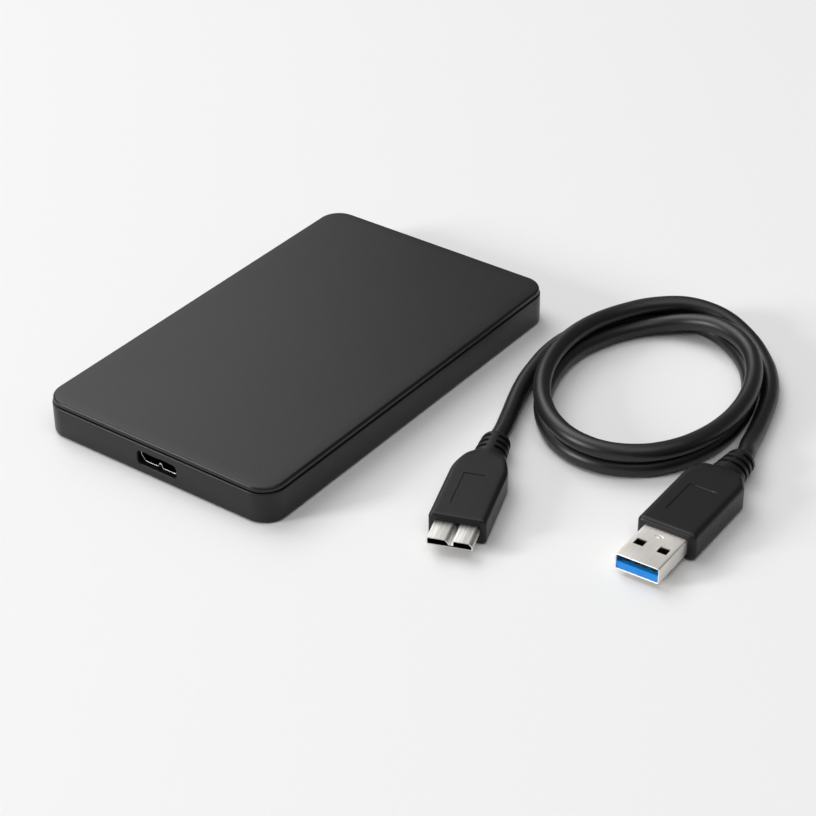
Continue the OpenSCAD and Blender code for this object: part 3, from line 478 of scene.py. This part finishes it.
def combine(piece, other, operation):
    """Joins one closed mesh onto another for good, or cuts it out, and sets the sharp edges again."""
    change = piece.modifiers.new("combine", "BOOLEAN")
    change.operation = operation
    change.solver = "EXACT"
    change.object = other
    evaluated = piece.evaluated_get(bpy.context.evaluated_depsgraph_get())
    mesh = bpy.data.meshes.new_from_object(evaluated)
    piece.modifiers.clear()
    piece.data = mesh
    mesh.set_sharp_from_angle(angle=math.radians(sharp_degrees))
    bpy.data.objects.remove(other)


def round_post(x, y, radius, low, high, sides=32):
    """Upright cylinder: the same circle at two heights."""
    a = np.linspace(0, 2 * np.pi, sides, endpoint=False)
    ring_x, ring_y = x + radius * np.cos(a), y + radius * np.sin(a)
    rings = np.stack(np.broadcast_arrays(ring_x, ring_y, np.array([[low], [high]])), axis=-1)
    return ring_surface("post", rings * MM)


def block(low, high):
    """Block between two opposite corners: the same four points at two heights."""
    (x0, y0, z0), (x1, y1, z1) = low, high
    flat = [(x0, y0), (x1, y0), (x1, y1), (x0, y1)]
    return ring_surface("block", np.array([[(x, y, z) for x, y in flat] for z in (z0, z1)]) * MM)


front_y = -case_half_y
boss_y = front_y + case_wall + boss_back
for side in (-1, 1):
    boss_x = port_centre[0] + side * boss_out
    stop_x = side * stop_middle
    stop = block((stop_x - stop_half, stop_front, floor_thickness - sunk),
                 (stop_x + stop_half, stop_front + case_wall, stop_top))
    combine(tray, round_post(boss_x, boss_y, boss_radius, floor_thickness - sunk, boss_top), "UNION")
    combine(tray, round_post(boss_x, boss_y, pilot_radius, floor_thickness, pilot_top), "DIFFERENCE")
    combine(tray, stop, "UNION")
slot = slot_rings([front_y - slot_outside, front_y + slot_chamfer, front_y + slot_depth],
                  [slot_chamfer + slot_outside, 0, 0])
combine(tray, ring_surface("slot", slot), "DIFFERENCE")
dress(tray, case_abs)
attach(tray, "root")
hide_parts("tray")


# Port
# A steel socket folded round two black nylon tongues with gold contacts. It is soldered to the bridge board
# and set back in the tray's slot. Its lower corners are cut, each by so much (across, up), and a notch in
# its foot, a little off the middle, keys the plug.
port_recess = 1.2
port_depth = 7.0
socket_half = (6.15, 1.45)
socket_sheet = 0.16
socket_round, socket_inner_round = 0.35, 0.3
left_cut, right_cut = (1.3, 1.7), (0.8, 1.0)
notch_half, notch_rise, notch_slope = 0.65, 1.1, 0.3
key_offset = 0.3


def plated_steel(name, code, worn_code, smoothness, turn=0.0):
    """Nickel-plated steel strip: bright and warm, with rolling lines along it and slight tarnish. The lines
    are drawn wider than real ones, which would be too fine to show."""
    line_mm = 0.3125
    line_stretch = 25.0
    tarnish_mm = 6.25
    material, tree, output, place = new_material(name)
    along = add_node(tree, "ShaderNodeMapping", {"Vector": place, "Rotation": (0.0, 0.0, -turn)})
    drawn = add_node(tree, "ShaderNodeMapping", {
        "Vector": along.outputs["Vector"], "Scale": (1.0, 1 / line_stretch, 1.0)})
    lines = add_node(tree, "ShaderNodeTexNoise", {
        "Vector": drawn.outputs["Vector"], "Scale": per_metre(line_mm), "Detail": 3.0})
    tarnish = add_node(tree, "ShaderNodeTexNoise", {
        "Vector": place, "Scale": per_metre(tarnish_mm), "Detail": 3.0})
    worn = add_node(tree, "ShaderNodeMapRange", {
        "Value": lines.outputs["Fac"], "From Min": 0.35, "From Max": 0.75})
    tone = add_node(tree, "ShaderNodeMixRGB", {
        "Fac": worn.outputs["Result"], "Color1": colour(code), "Color2": colour(worn_code)})
    gloss = add_node(tree, "ShaderNodeMapRange", {
        "Value": tarnish.outputs["Fac"], "To Min": smoothness - 0.04, "To Max": smoothness + 0.06})
    bump = add_node(tree, "ShaderNodeBump", {
        "Height": lines.outputs["Fac"], "Strength": 0.08, "Distance": 0.03 * MM})
    shader = add_node(tree, "ShaderNodeBsdfPrincipled", {
        "Base Color": tone.outputs["Color"], "Metallic": 1.0, "Roughness": gloss.outputs["Result"],
        "Normal": bump.outputs["Normal"]})
    tree.links.new(shader.outputs["BSDF"], output.inputs["Surface"])
    return material


def folded_sheet(name, at, turn, lift, outside, inside, depth):
    """Tube of sheet metal: the outer outline carried back and the inner one forward, with an eased front edge
    halfway between them."""
    lip = 0.08
    rows = [(outside, lip), (outside, depth), (inside, depth), (inside, lip), ((outside + inside) / 2, 0.0)]
    rings = np.stack([plug_point(at, turn, row[:, 0], v, lift + row[:, 1]) for row, v in rows]) * MM
    return new_piece(name, rings, bands(*rings.shape[:2], closed=True))


def line_inside(piece, material):
    """Gives the inner wall of a folded sheet, the third of its five bands of faces, a material of its own.
    Here that is near-black steel, painted shade for the inside of the tube.
    """
    piece.data.materials.append(material)
    band = np.repeat(np.arange(5), len(piece.data.polygons) // 5)
    piece.data.polygons.foreach_set("material_index", (band == 2).astype(int))


def eased_corners(outline, reach):
    """Outline with each corner rounded by a parabola, corner + (1-t)^2 start + t^2 end, that starts and ends
    the reach away along its two edges, or two fifths of the edge if that is less."""
    edges = np.stack([np.roll(outline, 1, axis=0), np.roll(outline, -1, axis=0)]) - outline
    lengths = np.linalg.norm(edges, axis=2, keepdims=True)
    starts, ends = edges * (np.minimum(reach, lengths / 2.5) / lengths)
    t = np.linspace(0, 1, 5)[None, :, None]
    return (outline[:, None] + (1 - t) ** 2 * starts[:, None] + t ** 2 * ends[:, None]).reshape(-1, 2)


def socket_outline(shrink):
    """Outline of the socket, moved in: sloped lower corners, and a notch with sloped sides in its foot."""
    w, h = socket_half[0] - shrink, socket_half[1] - shrink
    left, right = key_offset - notch_half - shrink, key_offset + notch_half + shrink
    return np.array([
        (-w, h), (-w, -h + left_cut[1]), (-w + left_cut[0], -h),
        (left, -h), (left + notch_slope, -h + notch_rise),
        (right - notch_slope, -h + notch_rise), (right, -h),
        (w - right_cut[0], -h), (w, -h + right_cut[1]), (w, h)])


def gold_plate():
    """Gold over nickel on stamped contacts: warm, bright and slightly uneven."""
    wear_mm = 1.1
    material, tree, output, place = new_material("gold_plated_contact")
    wear = add_node(tree, "ShaderNodeTexNoise", {
        "Vector": place, "Scale": per_metre(wear_mm), "Detail": 2.0})
    tone = add_node(tree, "ShaderNodeMixRGB", {
        "Fac": wear.outputs["Fac"], "Color1": colour("#e0b45a"), "Color2": colour("#c8963c")})
    shader = add_node(tree, "ShaderNodeBsdfPrincipled", {
        "Base Color": tone.outputs["Color"], "Metallic": 1.0, "Roughness": 0.25})
    tree.links.new(shader.outputs["BSDF"], output.inputs["Surface"])
    return material


def dress_nodes(names, material):
    """Gives several of the part's own solids one material."""
    for name in names:
        dress(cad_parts[name], material)


socket = folded_sheet("port_socket", (port_centre[0], front_y + port_recess), 0.0, port_centre[1],
                      eased_corners(socket_outline(0.0), socket_round),
                      eased_corners(socket_outline(socket_sheet), socket_inner_round), port_depth)
dress(socket, plated_steel("nickel_plated_socket", "#d8d6d1", "#bab7b1", 0.34))
# The inner walls of the socket and the lobes are painted near black, as painted shade inside the steel.
painted_shade_steel = plated_steel("painted_shade_inner_steel", "#1c1c1c", "#131313", 0.6)
line_inside(socket, painted_shade_steel)
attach(socket, "root")
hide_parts("port_shell")
black_nylon = grained_moulding("glass_filled_nylon", "#050505", "#090909", 0.3, 0.6)
gold = gold_plate()
dress_nodes(["port_tongues"], black_nylon)
dress_nodes(["port_contacts"], gold)


# Plug grips
# Each plug is moulded in one shot of soft black PVC round its steel and the end of the cable: a flat grip
# with a shallow panel on top, sloping shoulders, and an oval sleeve whose three slots a side let it bend.
# The slots go down to a core and leave a spine along the middle, which is given as half its width.
panel_depth, panel_wall = 0.2, 0.12
pocket_depth, pocket_round = 4.9, 0.4
relief_pitch, relief_gap, relief_core, relief_spine = 2.4, 1.0, 2.9, 1.0
sleeve_round = 1.5
oval_from = 0.6
grip_sharp_degrees = 40.0
drive_tip_lift = 0.6


def section_ring(half_width, half_height, edge, panel_half):
    """Rounded rectangle whose top and bottom runs have points on both sides of the panel's walls. The lower
    half is the upper half turned round its middle."""
    stops = np.array([0.0, panel_half / 2, panel_half - panel_wall, panel_half])
    flat = half_width - edge
    outer = np.linspace(panel_half, flat, 5)[1:]
    run = np.concatenate([-outer[::-1], -stops[:0:-1], stops, outer])
    t = np.linspace(0, np.pi / 2, 8)[1:-1]
    rise = np.linspace(-(half_height - edge), half_height - edge, 5)
    top = np.stack([run, np.full_like(run, half_height)], 1)
    right_top = np.stack([flat + edge * np.sin(t), half_height - edge + edge * np.cos(t)], 1)
    right = np.stack([np.full(5, half_width), rise[::-1]], 1)
    right_low = np.stack([flat + edge * np.cos(t), -(half_height - edge) - edge * np.sin(t)], 1)
    half = np.vstack([top, right_top, right, right_low])
    return np.vstack([half, -half])


def oval_like(ring, half_width, half_height):
    """Oval with one point for each point of a ring, at the angle where the ring's point lies."""
    a = np.arctan2(ring[:, 1] / np.abs(ring[:, 1]).max(), ring[:, 0] / np.abs(ring[:, 0]).max())
    return np.stack([half_width * np.cos(a), half_height * np.sin(a)], 1)


def plug_grip(name, at, turn, lift, half_width, edge, front, front_edge, shoulder, neck, end, waist, tip,
              panel, pocket, slope):
    """Pocket, grip and sleeve in one surface of rings behind the plug's mouth. A rounded rectangle opens
    along a quarter circle at the front, narrows to the waist from shoulder to neck, and turns into an oval
    that goes on to the tip. The panel's points are pressed in, and the slots' are drawn in to the core."""
    panel_half, panel_from, panel_to = panel
    ring = section_ring(half_width, lift, edge, panel_half)
    stations = np.concatenate([
        front + front_edge * (1 - np.cos(np.linspace(0, np.pi / 2, 7))),
        np.linspace(front + front_edge + 0.5, panel_from - 0.2, 5),
        [panel_from, panel_from + panel_wall], np.linspace(panel_from, panel_to, 7)[1:-1],
        [panel_to - panel_wall, panel_to], np.linspace(panel_to, shoulder, 5)[1:-1],
        np.linspace(shoulder, neck, 30),
        np.linspace(neck, end, 120)[1:]])
    rings = []
    for v in stations:
        short = float(np.clip(1 - (v - front) / front_edge, 0, 1))
        shrink = front_edge * (1 - math.sqrt(1 - short ** 2))
        t = float(np.clip((v - shoulder) / (neck - shoulder), 0, 1))
        wide = half_width + (waist[0] - half_width) * slope(t) - shrink
        high = lift + (waist[1] - lift) * t ** 3 - shrink
        if v > neck:
            s = (v - neck) / (end - neck)
            close = math.sqrt(1 - max(0.0, (v - end + sleeve_round) / sleeve_round) ** 2)
            wide = relief_core + (waist[0] + (tip[0] - waist[0]) * s - relief_core) * close
            high = relief_core + (waist[1] + (tip[1] - waist[1]) * s - relief_core) * close
            points = oval_like(ring, wide, high)
        else:
            blend = max(0.0, (t - oval_from) / (1 - oval_from)) ** 2
            points = ring * [wide / half_width, high / lift]
            points = points * (1 - blend) + oval_like(ring, wide, high) * blend
        if any(abs(end - v - k * relief_pitch) < relief_gap / 2 for k in (1, 2, 3)):
            length = np.hypot(points[:, 0], points[:, 1])
            cored = points * (np.minimum(relief_core, length) / length)[:, None]
            points = np.where((np.abs(points[:, 0]) > relief_spine)[:, None], cored, points)
        if panel_from + panel_wall / 2 < v < panel_to - panel_wall / 2:
            pressed = (points[:, 1] > lift - 0.05) & (np.abs(points[:, 0]) < panel_half - panel_wall / 2)
            points = points - np.stack([np.zeros(len(points)), np.where(pressed, panel_depth, 0.0)], 1)
        rings.append(plug_point(at, turn, points[:, 0], v, lift + points[:, 1]))
    pocket_half_x, pocket_half_z, pocket_up = pocket
    mouth = section_ring(pocket_half_x, pocket_half_z, pocket_round, pocket_half_x * 0.6) + [0.0, pocket_up]
    pocket_rings = [plug_point(at, turn, mouth[:, 0], v, lift + mouth[:, 1])
                    for v in (front + pocket_depth, front)]
    return ring_surface(name, np.stack(pocket_rings + rings) * MM, grip_sharp_degrees)


plug_plastic = grained_moulding("soft_moulded_pvc_grip", "#0a0a0b", "#101011", 0.4, 0.42)
drive_grip = plug_grip(
    "drive_plug_grip", drive_plug_at, drive_plug_turn, drive_plug_lift, half_width=7.4, edge=1.3, front=7.2,
    front_edge=0.7, shoulder=27.5, neck=38.2, end=drive_plug_exit, waist=(4.5, 3.4), tip=(3.9, 3.3),
    panel=(3.3, 12.5, 26.2), pocket=(5.8, 1.0, drive_tip_lift),
    slope=lambda t: 1 - math.cos(math.pi / 2 * t) ** 1.3)
computer_grip = plug_grip(
    "computer_plug_grip", computer_plug_at, computer_plug_turn, computer_plug_lift, half_width=8.1, edge=1.5,
    front=14.0, front_edge=1.2, shoulder=39.5, neck=44.8, end=computer_plug_exit, waist=(5.0, 3.6),
    tip=(3.8, 3.3), panel=(3.9, 20.3, 33.3), pocket=(6.0, 2.25, 0.0), slope=lambda t: t ** 1.15)
for grip, node in ((drive_grip, "drive_plug_body"), (computer_grip, "computer_plug_body")):
    dress(grip, plug_plastic)
    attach(grip, "root")
    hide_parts(node)


# Computer plug shell
# A strip of nickel-plated steel folded round the plug's tongue, and held by the grip. It has two square latch
# windows above and below, and on top a small pad with a curved slit round it, pressed and cut in the sheet.
shell_half = (6.0, 2.25)
shell_sheet = 0.3
shell_depth = 19.0
shell_round, shell_inner_round = 0.55, 0.3
window_out, window_half = 3.2, 1.35
window_front, window_back = 5.85, 8.35
window_through = (-4.0, 4.0)

# Places on the shell are across, behind and up from the middle of the plug's mouth.
slit_middle = (-0.35, 11.5)
slit_half, slit_rise, slit_straight = 0.95, 0.55, 0.6
slit_width = 0.32
slit_up = 2.2
pad_across, pad_behind, pad_up, pad_edge = (-0.85, 0.15), (10.9, 11.6), (2.1, 2.37), 0.1


def plug_block(name, at, turn, lift, across, behind, up, edge=0.0):
    """Block in a plug's frame between pairs of limits, with its front edges eased by a small slope."""
    middle_x, middle_z = sum(across) / 2, sum(up) / 2
    half_x, half_z = (across[1] - across[0]) / 2, (up[1] - up[0]) / 2
    rows = [(behind[0], edge), (behind[0] + edge, 0.0), (behind[1], 0.0)]
    rings = []
    for v, shrink in rows if edge else rows[1:]:
        x = middle_x + np.array([-1, 1, 1, -1]) * (half_x - shrink)
        z = middle_z + np.array([-1, -1, 1, 1]) * (half_z - shrink)
        rings.append(plug_point(at, turn, x, v, lift + z))
    return ring_surface(name, np.stack(rings) * MM)


def shell_outline(shrink, radius):
    """Outline of the shell, moved in by the shrink."""
    x, z = rounded_rectangle(shell_half[0] - shrink, shell_half[1] - shrink, radius, steps=6)
    return np.stack([x, z], axis=1)


computer_shell = folded_sheet(
    "computer_plug_sleeve", computer_plug_at, computer_plug_turn, computer_plug_lift,
    shell_outline(0.0, shell_round), shell_outline(shell_sheet, shell_inner_round), shell_depth)
for side in (-1, 1):
    across = (side * window_out - window_half, side * window_out + window_half)
    window = plug_block("window", computer_plug_at, computer_plug_turn, computer_plug_lift,
                        across, (window_front, window_back), window_through)
    combine(computer_shell, window, "DIFFERENCE")
bend = np.linspace(0, np.pi, 13)
slit_x = slit_middle[0] + slit_half * np.concatenate([[-1.0], -np.cos(bend), [1.0]])
slit_y = slit_middle[1] + np.concatenate([[-slit_straight], slit_rise * np.sin(bend), [-slit_straight]])
slit_path = plug_point(computer_plug_at, computer_plug_turn, slit_x, slit_y, computer_plug_lift + slit_up)
latch_pad = plug_block("latch_pad", computer_plug_at, computer_plug_turn, computer_plug_lift,
                       pad_across, pad_behind, pad_up, pad_edge)
combine(computer_shell, tube_along("slit", slit_path * MM, slit_width / 2 * MM, sides=8), "DIFFERENCE")
combine(computer_shell, latch_pad, "UNION")
dress(computer_shell, plated_steel("nickel_plated_shell", "#faf7f1", "#f0ece5", 0.44, computer_plug_turn))
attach(computer_shell, "root")
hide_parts("computer_plug_shell")


# Computer plug tongue
# A bright blue plastic tongue in the lower half of the plug's mouth, with gold-plated contacts. It is moulded
# onto a black block behind it, which fills the shell. The blue is painted darker towards that block, as
# painted shade deep in the mouth.
blue_depth = 5.0
painted_shade_length = 4.6


def blue_plastic():
    """Two-shot PBT: semi-gloss azure with faint flow marks at the mouth, painted darker to black further in
    as painted shade inside the mouth.
    """
    flow_mm = 2.0
    material, tree, output, place = new_material("blue_black_pbt_painted_shade")
    flow = add_node(tree, "ShaderNodeTexNoise", {
        "Vector": place, "Scale": per_metre(flow_mm), "Detail": 2.0})
    blue = add_node(tree, "ShaderNodeMixRGB", {
        "Fac": flow.outputs["Fac"], "Color1": colour("#0883dc"), "Color2": colour("#0c96ee")})
    join = plug_point(computer_plug_at, computer_plug_turn, 0.0, blue_depth, computer_plug_lift) * MM
    inwards = add_node(tree, "ShaderNodeVectorMath", {0: place, 1: join.tolist()}, operation="SUBTRACT")
    depth = add_node(tree, "ShaderNodeVectorMath", {
        0: inwards.outputs["Vector"], 1: (-computer_plug_way).tolist()}, operation="DOT_PRODUCT")
    # Share of painted shade: none at the mouth, growing to full black at the block behind the tongue.
    behind = add_node(tree, "ShaderNodeMapRange", {
        "Value": depth.outputs["Value"], "From Min": -painted_shade_length * MM, "From Max": 0.0})
    tone = add_node(tree, "ShaderNodeMixRGB", {
        "Fac": behind.outputs["Result"], "Color1": blue.outputs["Color"], "Color2": colour("#060607")})
    shader = add_node(tree, "ShaderNodeBsdfPrincipled", {
        "Base Color": tone.outputs["Color"], "Roughness": 0.5, "IOR": 1.45})
    tree.links.new(shader.outputs["BSDF"], output.inputs["Surface"])
    return material


dress_nodes(["computer_plug_tongue"], blue_plastic())
dress_nodes(["computer_plug_contacts"], gold)


# Drive plug tip
# Nickel-plated steel strip folded into two joined lobes of unequal width, with a channel between them that
# takes the socket's notch. A black nylon insert lies deep inside each.
lobe_half = (5.8, 1.0)
lobe_sheet = 0.25
lobe_round, lobe_inner_round = 0.3, 0.25
lobe_cut = 0.8
lobe_depth = 12.2
channel_half, channel_floor = 0.45, 0.75


def lobe_outline(shrink):
    """Outline of the two lobes with the channel between them, moved in: three sloped upper corners."""
    w, h = lobe_half[0] - shrink, lobe_half[1] - shrink
    left, right = key_offset - channel_half - shrink, key_offset + channel_half + shrink
    low = channel_floor - lobe_half[1] - shrink
    return np.array([(-w, -h), (w, -h), (w, h - lobe_cut), (w - lobe_cut, h), (right, h), (right, low),
                     (left, low), (left, h - lobe_cut), (left - lobe_cut, h), (-w, h)])


drive_tip = folded_sheet("drive_plug_lobes", drive_plug_at, drive_plug_turn, drive_plug_lift + drive_tip_lift,
                         eased_corners(lobe_outline(0.0), lobe_round),
                         eased_corners(lobe_outline(lobe_sheet), lobe_inner_round), lobe_depth)
dress(drive_tip, plated_steel("nickel_plated_lobes", "#fbf9f5", "#c6c3be", 0.4, drive_plug_turn))
line_inside(drive_tip, painted_shade_steel)
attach(drive_tip, "root")
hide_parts("drive_plug_tip")
dress_nodes(["drive_plug_insert"], black_nylon)


# Bridge board
# A small board of dark fibreglass that joins the port to the bare drive, held by two screws in the tray's
# bosses. It carries an epoxy chip, ceramic capacitors and a nylon socket for the drive's connector.
def solder_mask(name, mask, track):
    """Solder mask over etched copper: semi-gloss, with the tracks showing as slightly raised, paler lines."""
    track_pitch_mm = 2.4
    track_share = 0.06
    material, tree, output, place = new_material(name)
    cells = add_node(tree, "ShaderNodeTexVoronoi", {"Vector": place, "Scale": per_metre(track_pitch_mm)},
                     distance="CHEBYCHEV", feature="DISTANCE_TO_EDGE")
    lines = add_node(tree, "ShaderNodeMath", {
        0: cells.outputs["Distance"], 1: track_share}, operation="LESS_THAN")
    tone = add_node(tree, "ShaderNodeMixRGB", {
        "Fac": lines.outputs["Value"], "Color1": colour(mask), "Color2": colour(track)})
    bump = add_node(tree, "ShaderNodeBump", {
        "Height": lines.outputs["Value"], "Strength": 0.4, "Distance": 0.04 * MM})
    shader = add_node(tree, "ShaderNodeBsdfPrincipled", {
        "Base Color": tone.outputs["Color"], "Roughness": 0.3, "IOR": 1.5, "Normal": bump.outputs["Normal"]})
    tree.links.new(shader.outputs["BSDF"], output.inputs["Surface"])
    return material


dress_nodes(["bridge_board"], solder_mask("dark_solder_mask", "#121614", "#1d2421"))
dress_nodes(["bridge_socket", "drive_connector"], black_nylon)
dress_nodes(["bridge_chip", "drive_board_chips"],
            grained_moulding("chip_epoxy", "#141415", "#1c1c1d", 0.15, 0.55))
dress_nodes(["bridge_small_parts"], grained_moulding("fired_ceramic", "#8f7a52", "#a58e62", 0.2, 0.5))
dress_nodes(["bridge_screws", "cover_screws", "drive_board_screws"],
            plated_steel("zinc_plated_screws", "#b8b8b6", "#a6a6a4", 0.3))


# Bare drive
# A die-cast aluminium base with a stamped steel cover screwed on it and its own board below. Rubber corners
# and strips of foam hold it in the case.
def bare_metal(name, code, smoothness, grain_mm, depth):
    """Bare cast or stamped metal: a grain that breaks up the reflection, finer and shallower when stamped."""
    material, tree, output, place = new_material(name)
    grain = add_node(tree, "ShaderNodeTexNoise", {
        "Vector": place, "Scale": per_metre(grain_mm), "Detail": 4.0})
    tone = add_node(tree, "ShaderNodeMixRGB", {
        "Fac": grain.outputs["Fac"], "Color1": colour(code), "Color2": colour("#8e9092")})
    gloss = add_node(tree, "ShaderNodeMapRange", {
        "Value": grain.outputs["Fac"], "To Min": smoothness - 0.05, "To Max": smoothness + 0.1})
    bump = add_node(tree, "ShaderNodeBump", {
        "Height": grain.outputs["Fac"], "Strength": depth, "Distance": 0.05 * MM})
    shader = add_node(tree, "ShaderNodeBsdfPrincipled", {
        "Base Color": tone.outputs["Color"], "Metallic": 1.0, "Roughness": gloss.outputs["Result"],
        "Normal": bump.outputs["Normal"]})
    tree.links.new(shader.outputs["BSDF"], output.inputs["Surface"])
    return material


def foam():
    """Open-cell foam: soft grey, painted darker in its pores as painted shade, with no shine."""
    pore_mm = 0.45
    material, tree, output, place = new_material("open_cell_foam")
    cells = add_node(tree, "ShaderNodeTexVoronoi", {"Vector": place, "Scale": per_metre(pore_mm)})
    tone = add_node(tree, "ShaderNodeValToRGB", {"Fac": cells.outputs["Distance"]})
    tone.color_ramp.elements[0].color = colour("#1c1c1c")
    tone.color_ramp.elements[1].color = colour("#4a4a4a")
    bump = add_node(tree, "ShaderNodeBump", {
        "Height": cells.outputs["Distance"], "Strength": 0.8, "Distance": 0.2 * MM})
    shader = add_node(tree, "ShaderNodeBsdfDiffuse", {
        "Color": tone.outputs["Color"], "Normal": bump.outputs["Normal"]})
    tree.links.new(shader.outputs["BSDF"], output.inputs["Surface"])
    return material


dress_nodes(["drive_casting"], bare_metal("die_cast_aluminium", "#b4b6b8", 0.45, 0.8, 0.5))
dress_nodes(["drive_cover"], bare_metal("stamped_cover_steel", "#c4c6c8", 0.3, 0.25, 0.2))
dress_nodes(["drive_board"], solder_mask("blue_solder_mask", "#12304c", "#1c4568"))
dress_nodes(["corner_bumpers"], grained_moulding("black_rubber", "#101010", "#181818", 0.5, 0.8))
dress_nodes(["lower_foam_strips", "upper_foam_strips"], foam())


# Disk and motor
# A polished disk on a turned steel hub, held down by a clamp. Hub, disk and clamp spin together on the fixed
# shaft of the motor, which is pressed into the casting.
def turned_metal(name, code, smoothness, node, pitch_mm):
    """Lathe-turned metal: rings round the node's own middle, fine enough to smear the reflection."""
    material, tree, output, place = new_material(name)
    middle = np.mean(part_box(node), axis=0)
    centred = add_node(tree, "ShaderNodeMapping", {
        "Vector": place, "Location": (-middle[0], -middle[1], 0.0)})
    # A wave of scale s repeats every pi / 10 / s.
    rings = add_node(tree, "ShaderNodeTexWave", {
        "Vector": centred.outputs["Vector"], "Scale": math.pi / 10 * per_metre(pitch_mm), "Distortion": 0.3,
        "Detail": 2.0}, wave_type="RINGS", rings_direction="Z")
    gloss = add_node(tree, "ShaderNodeMapRange", {
        "Value": rings.outputs["Fac"], "To Min": smoothness, "To Max": smoothness + 0.04})
    bump = add_node(tree, "ShaderNodeBump", {
        "Height": rings.outputs["Fac"], "Strength": 0.1, "Distance": 0.01 * MM})
    shader = add_node(tree, "ShaderNodeBsdfPrincipled", {
        "Base Color": colour(code), "Metallic": 1.0, "Roughness": gloss.outputs["Result"],
        "Normal": bump.outputs["Normal"]})
    tree.links.new(shader.outputs["BSDF"], output.inputs["Surface"])
    return material


dress_nodes(["disk"], turned_metal("polished_disk", "#e4e6e8", 0.02, "disk", 1.5))
dress_nodes(["spindle_motor", "spindle_hub", "disk_clamp"],
            turned_metal("turned_hub_steel", "#c2c4c6", 0.22, "spindle_hub", 0.3))


# Head arm
# A stamped aluminium arm on a steel post carries the heads. A copper coil between two magnets swings it, and
# the tips rest on a plastic ramp. A small felt pad filters the air.
def wound_copper():
    """Enamelled copper wire in layers: orange-brown metal with a fine thread of turns. The wire is drawn
    thicker than the real one, which would be too fine to show."""
    wire_pitch_mm = 0.35
    material, tree, output, place = new_material("wound_copper_wire")
    turns = add_node(tree, "ShaderNodeTexWave", {
        "Vector": place, "Scale": math.pi / 10 * per_metre(wire_pitch_mm), "Distortion": 1.0, "Detail": 2.0},
        bands_direction="Z")
    tone = add_node(tree, "ShaderNodeMixRGB", {
        "Fac": turns.outputs["Fac"], "Color1": colour("#7a4018"), "Color2": colour("#c87838")})
    bump = add_node(tree, "ShaderNodeBump", {
        "Height": turns.outputs["Fac"], "Strength": 0.5, "Distance": 0.05 * MM})
    shader = add_node(tree, "ShaderNodeBsdfPrincipled", {
        "Base Color": tone.outputs["Color"], "Metallic": 0.9, "Roughness": 0.35,
        "Normal": bump.outputs["Normal"]})
    tree.links.new(shader.outputs["BSDF"], output.inputs["Surface"])
    return material


dress_nodes(["head_arm"], bare_metal("stamped_arm_aluminium", "#c6c8ca", 0.28, 0.2, 0.15))
dress_nodes(["voice_coil"], wound_copper())
dress_nodes(["read_heads"], grained_moulding("sintered_ceramic", "#2a2a2c", "#363638", 0.1, 0.3))
dress_nodes(["pivot_post"], turned_metal("turned_pivot_steel", "#b2b4b6", 0.2, "pivot_post", 0.3))
dress_nodes(["magnet_yokes"], bare_metal("nickel_plated_yoke", "#a8aaac", 0.3, 0.3, 0.2))
dress_nodes(["coil_magnets"], bare_metal("nickel_plated_magnet", "#8c8e90", 0.22, 0.5, 0.1))
dress_nodes(["parking_ramp"], grained_moulding("white_acetal", "#d6d0c2", "#e2dccf", 0.3, 0.4))
dress_nodes(["air_filter"], grained_moulding("pressed_felt", "#dcdad2", "#efeee8", 0.12, 0.9))
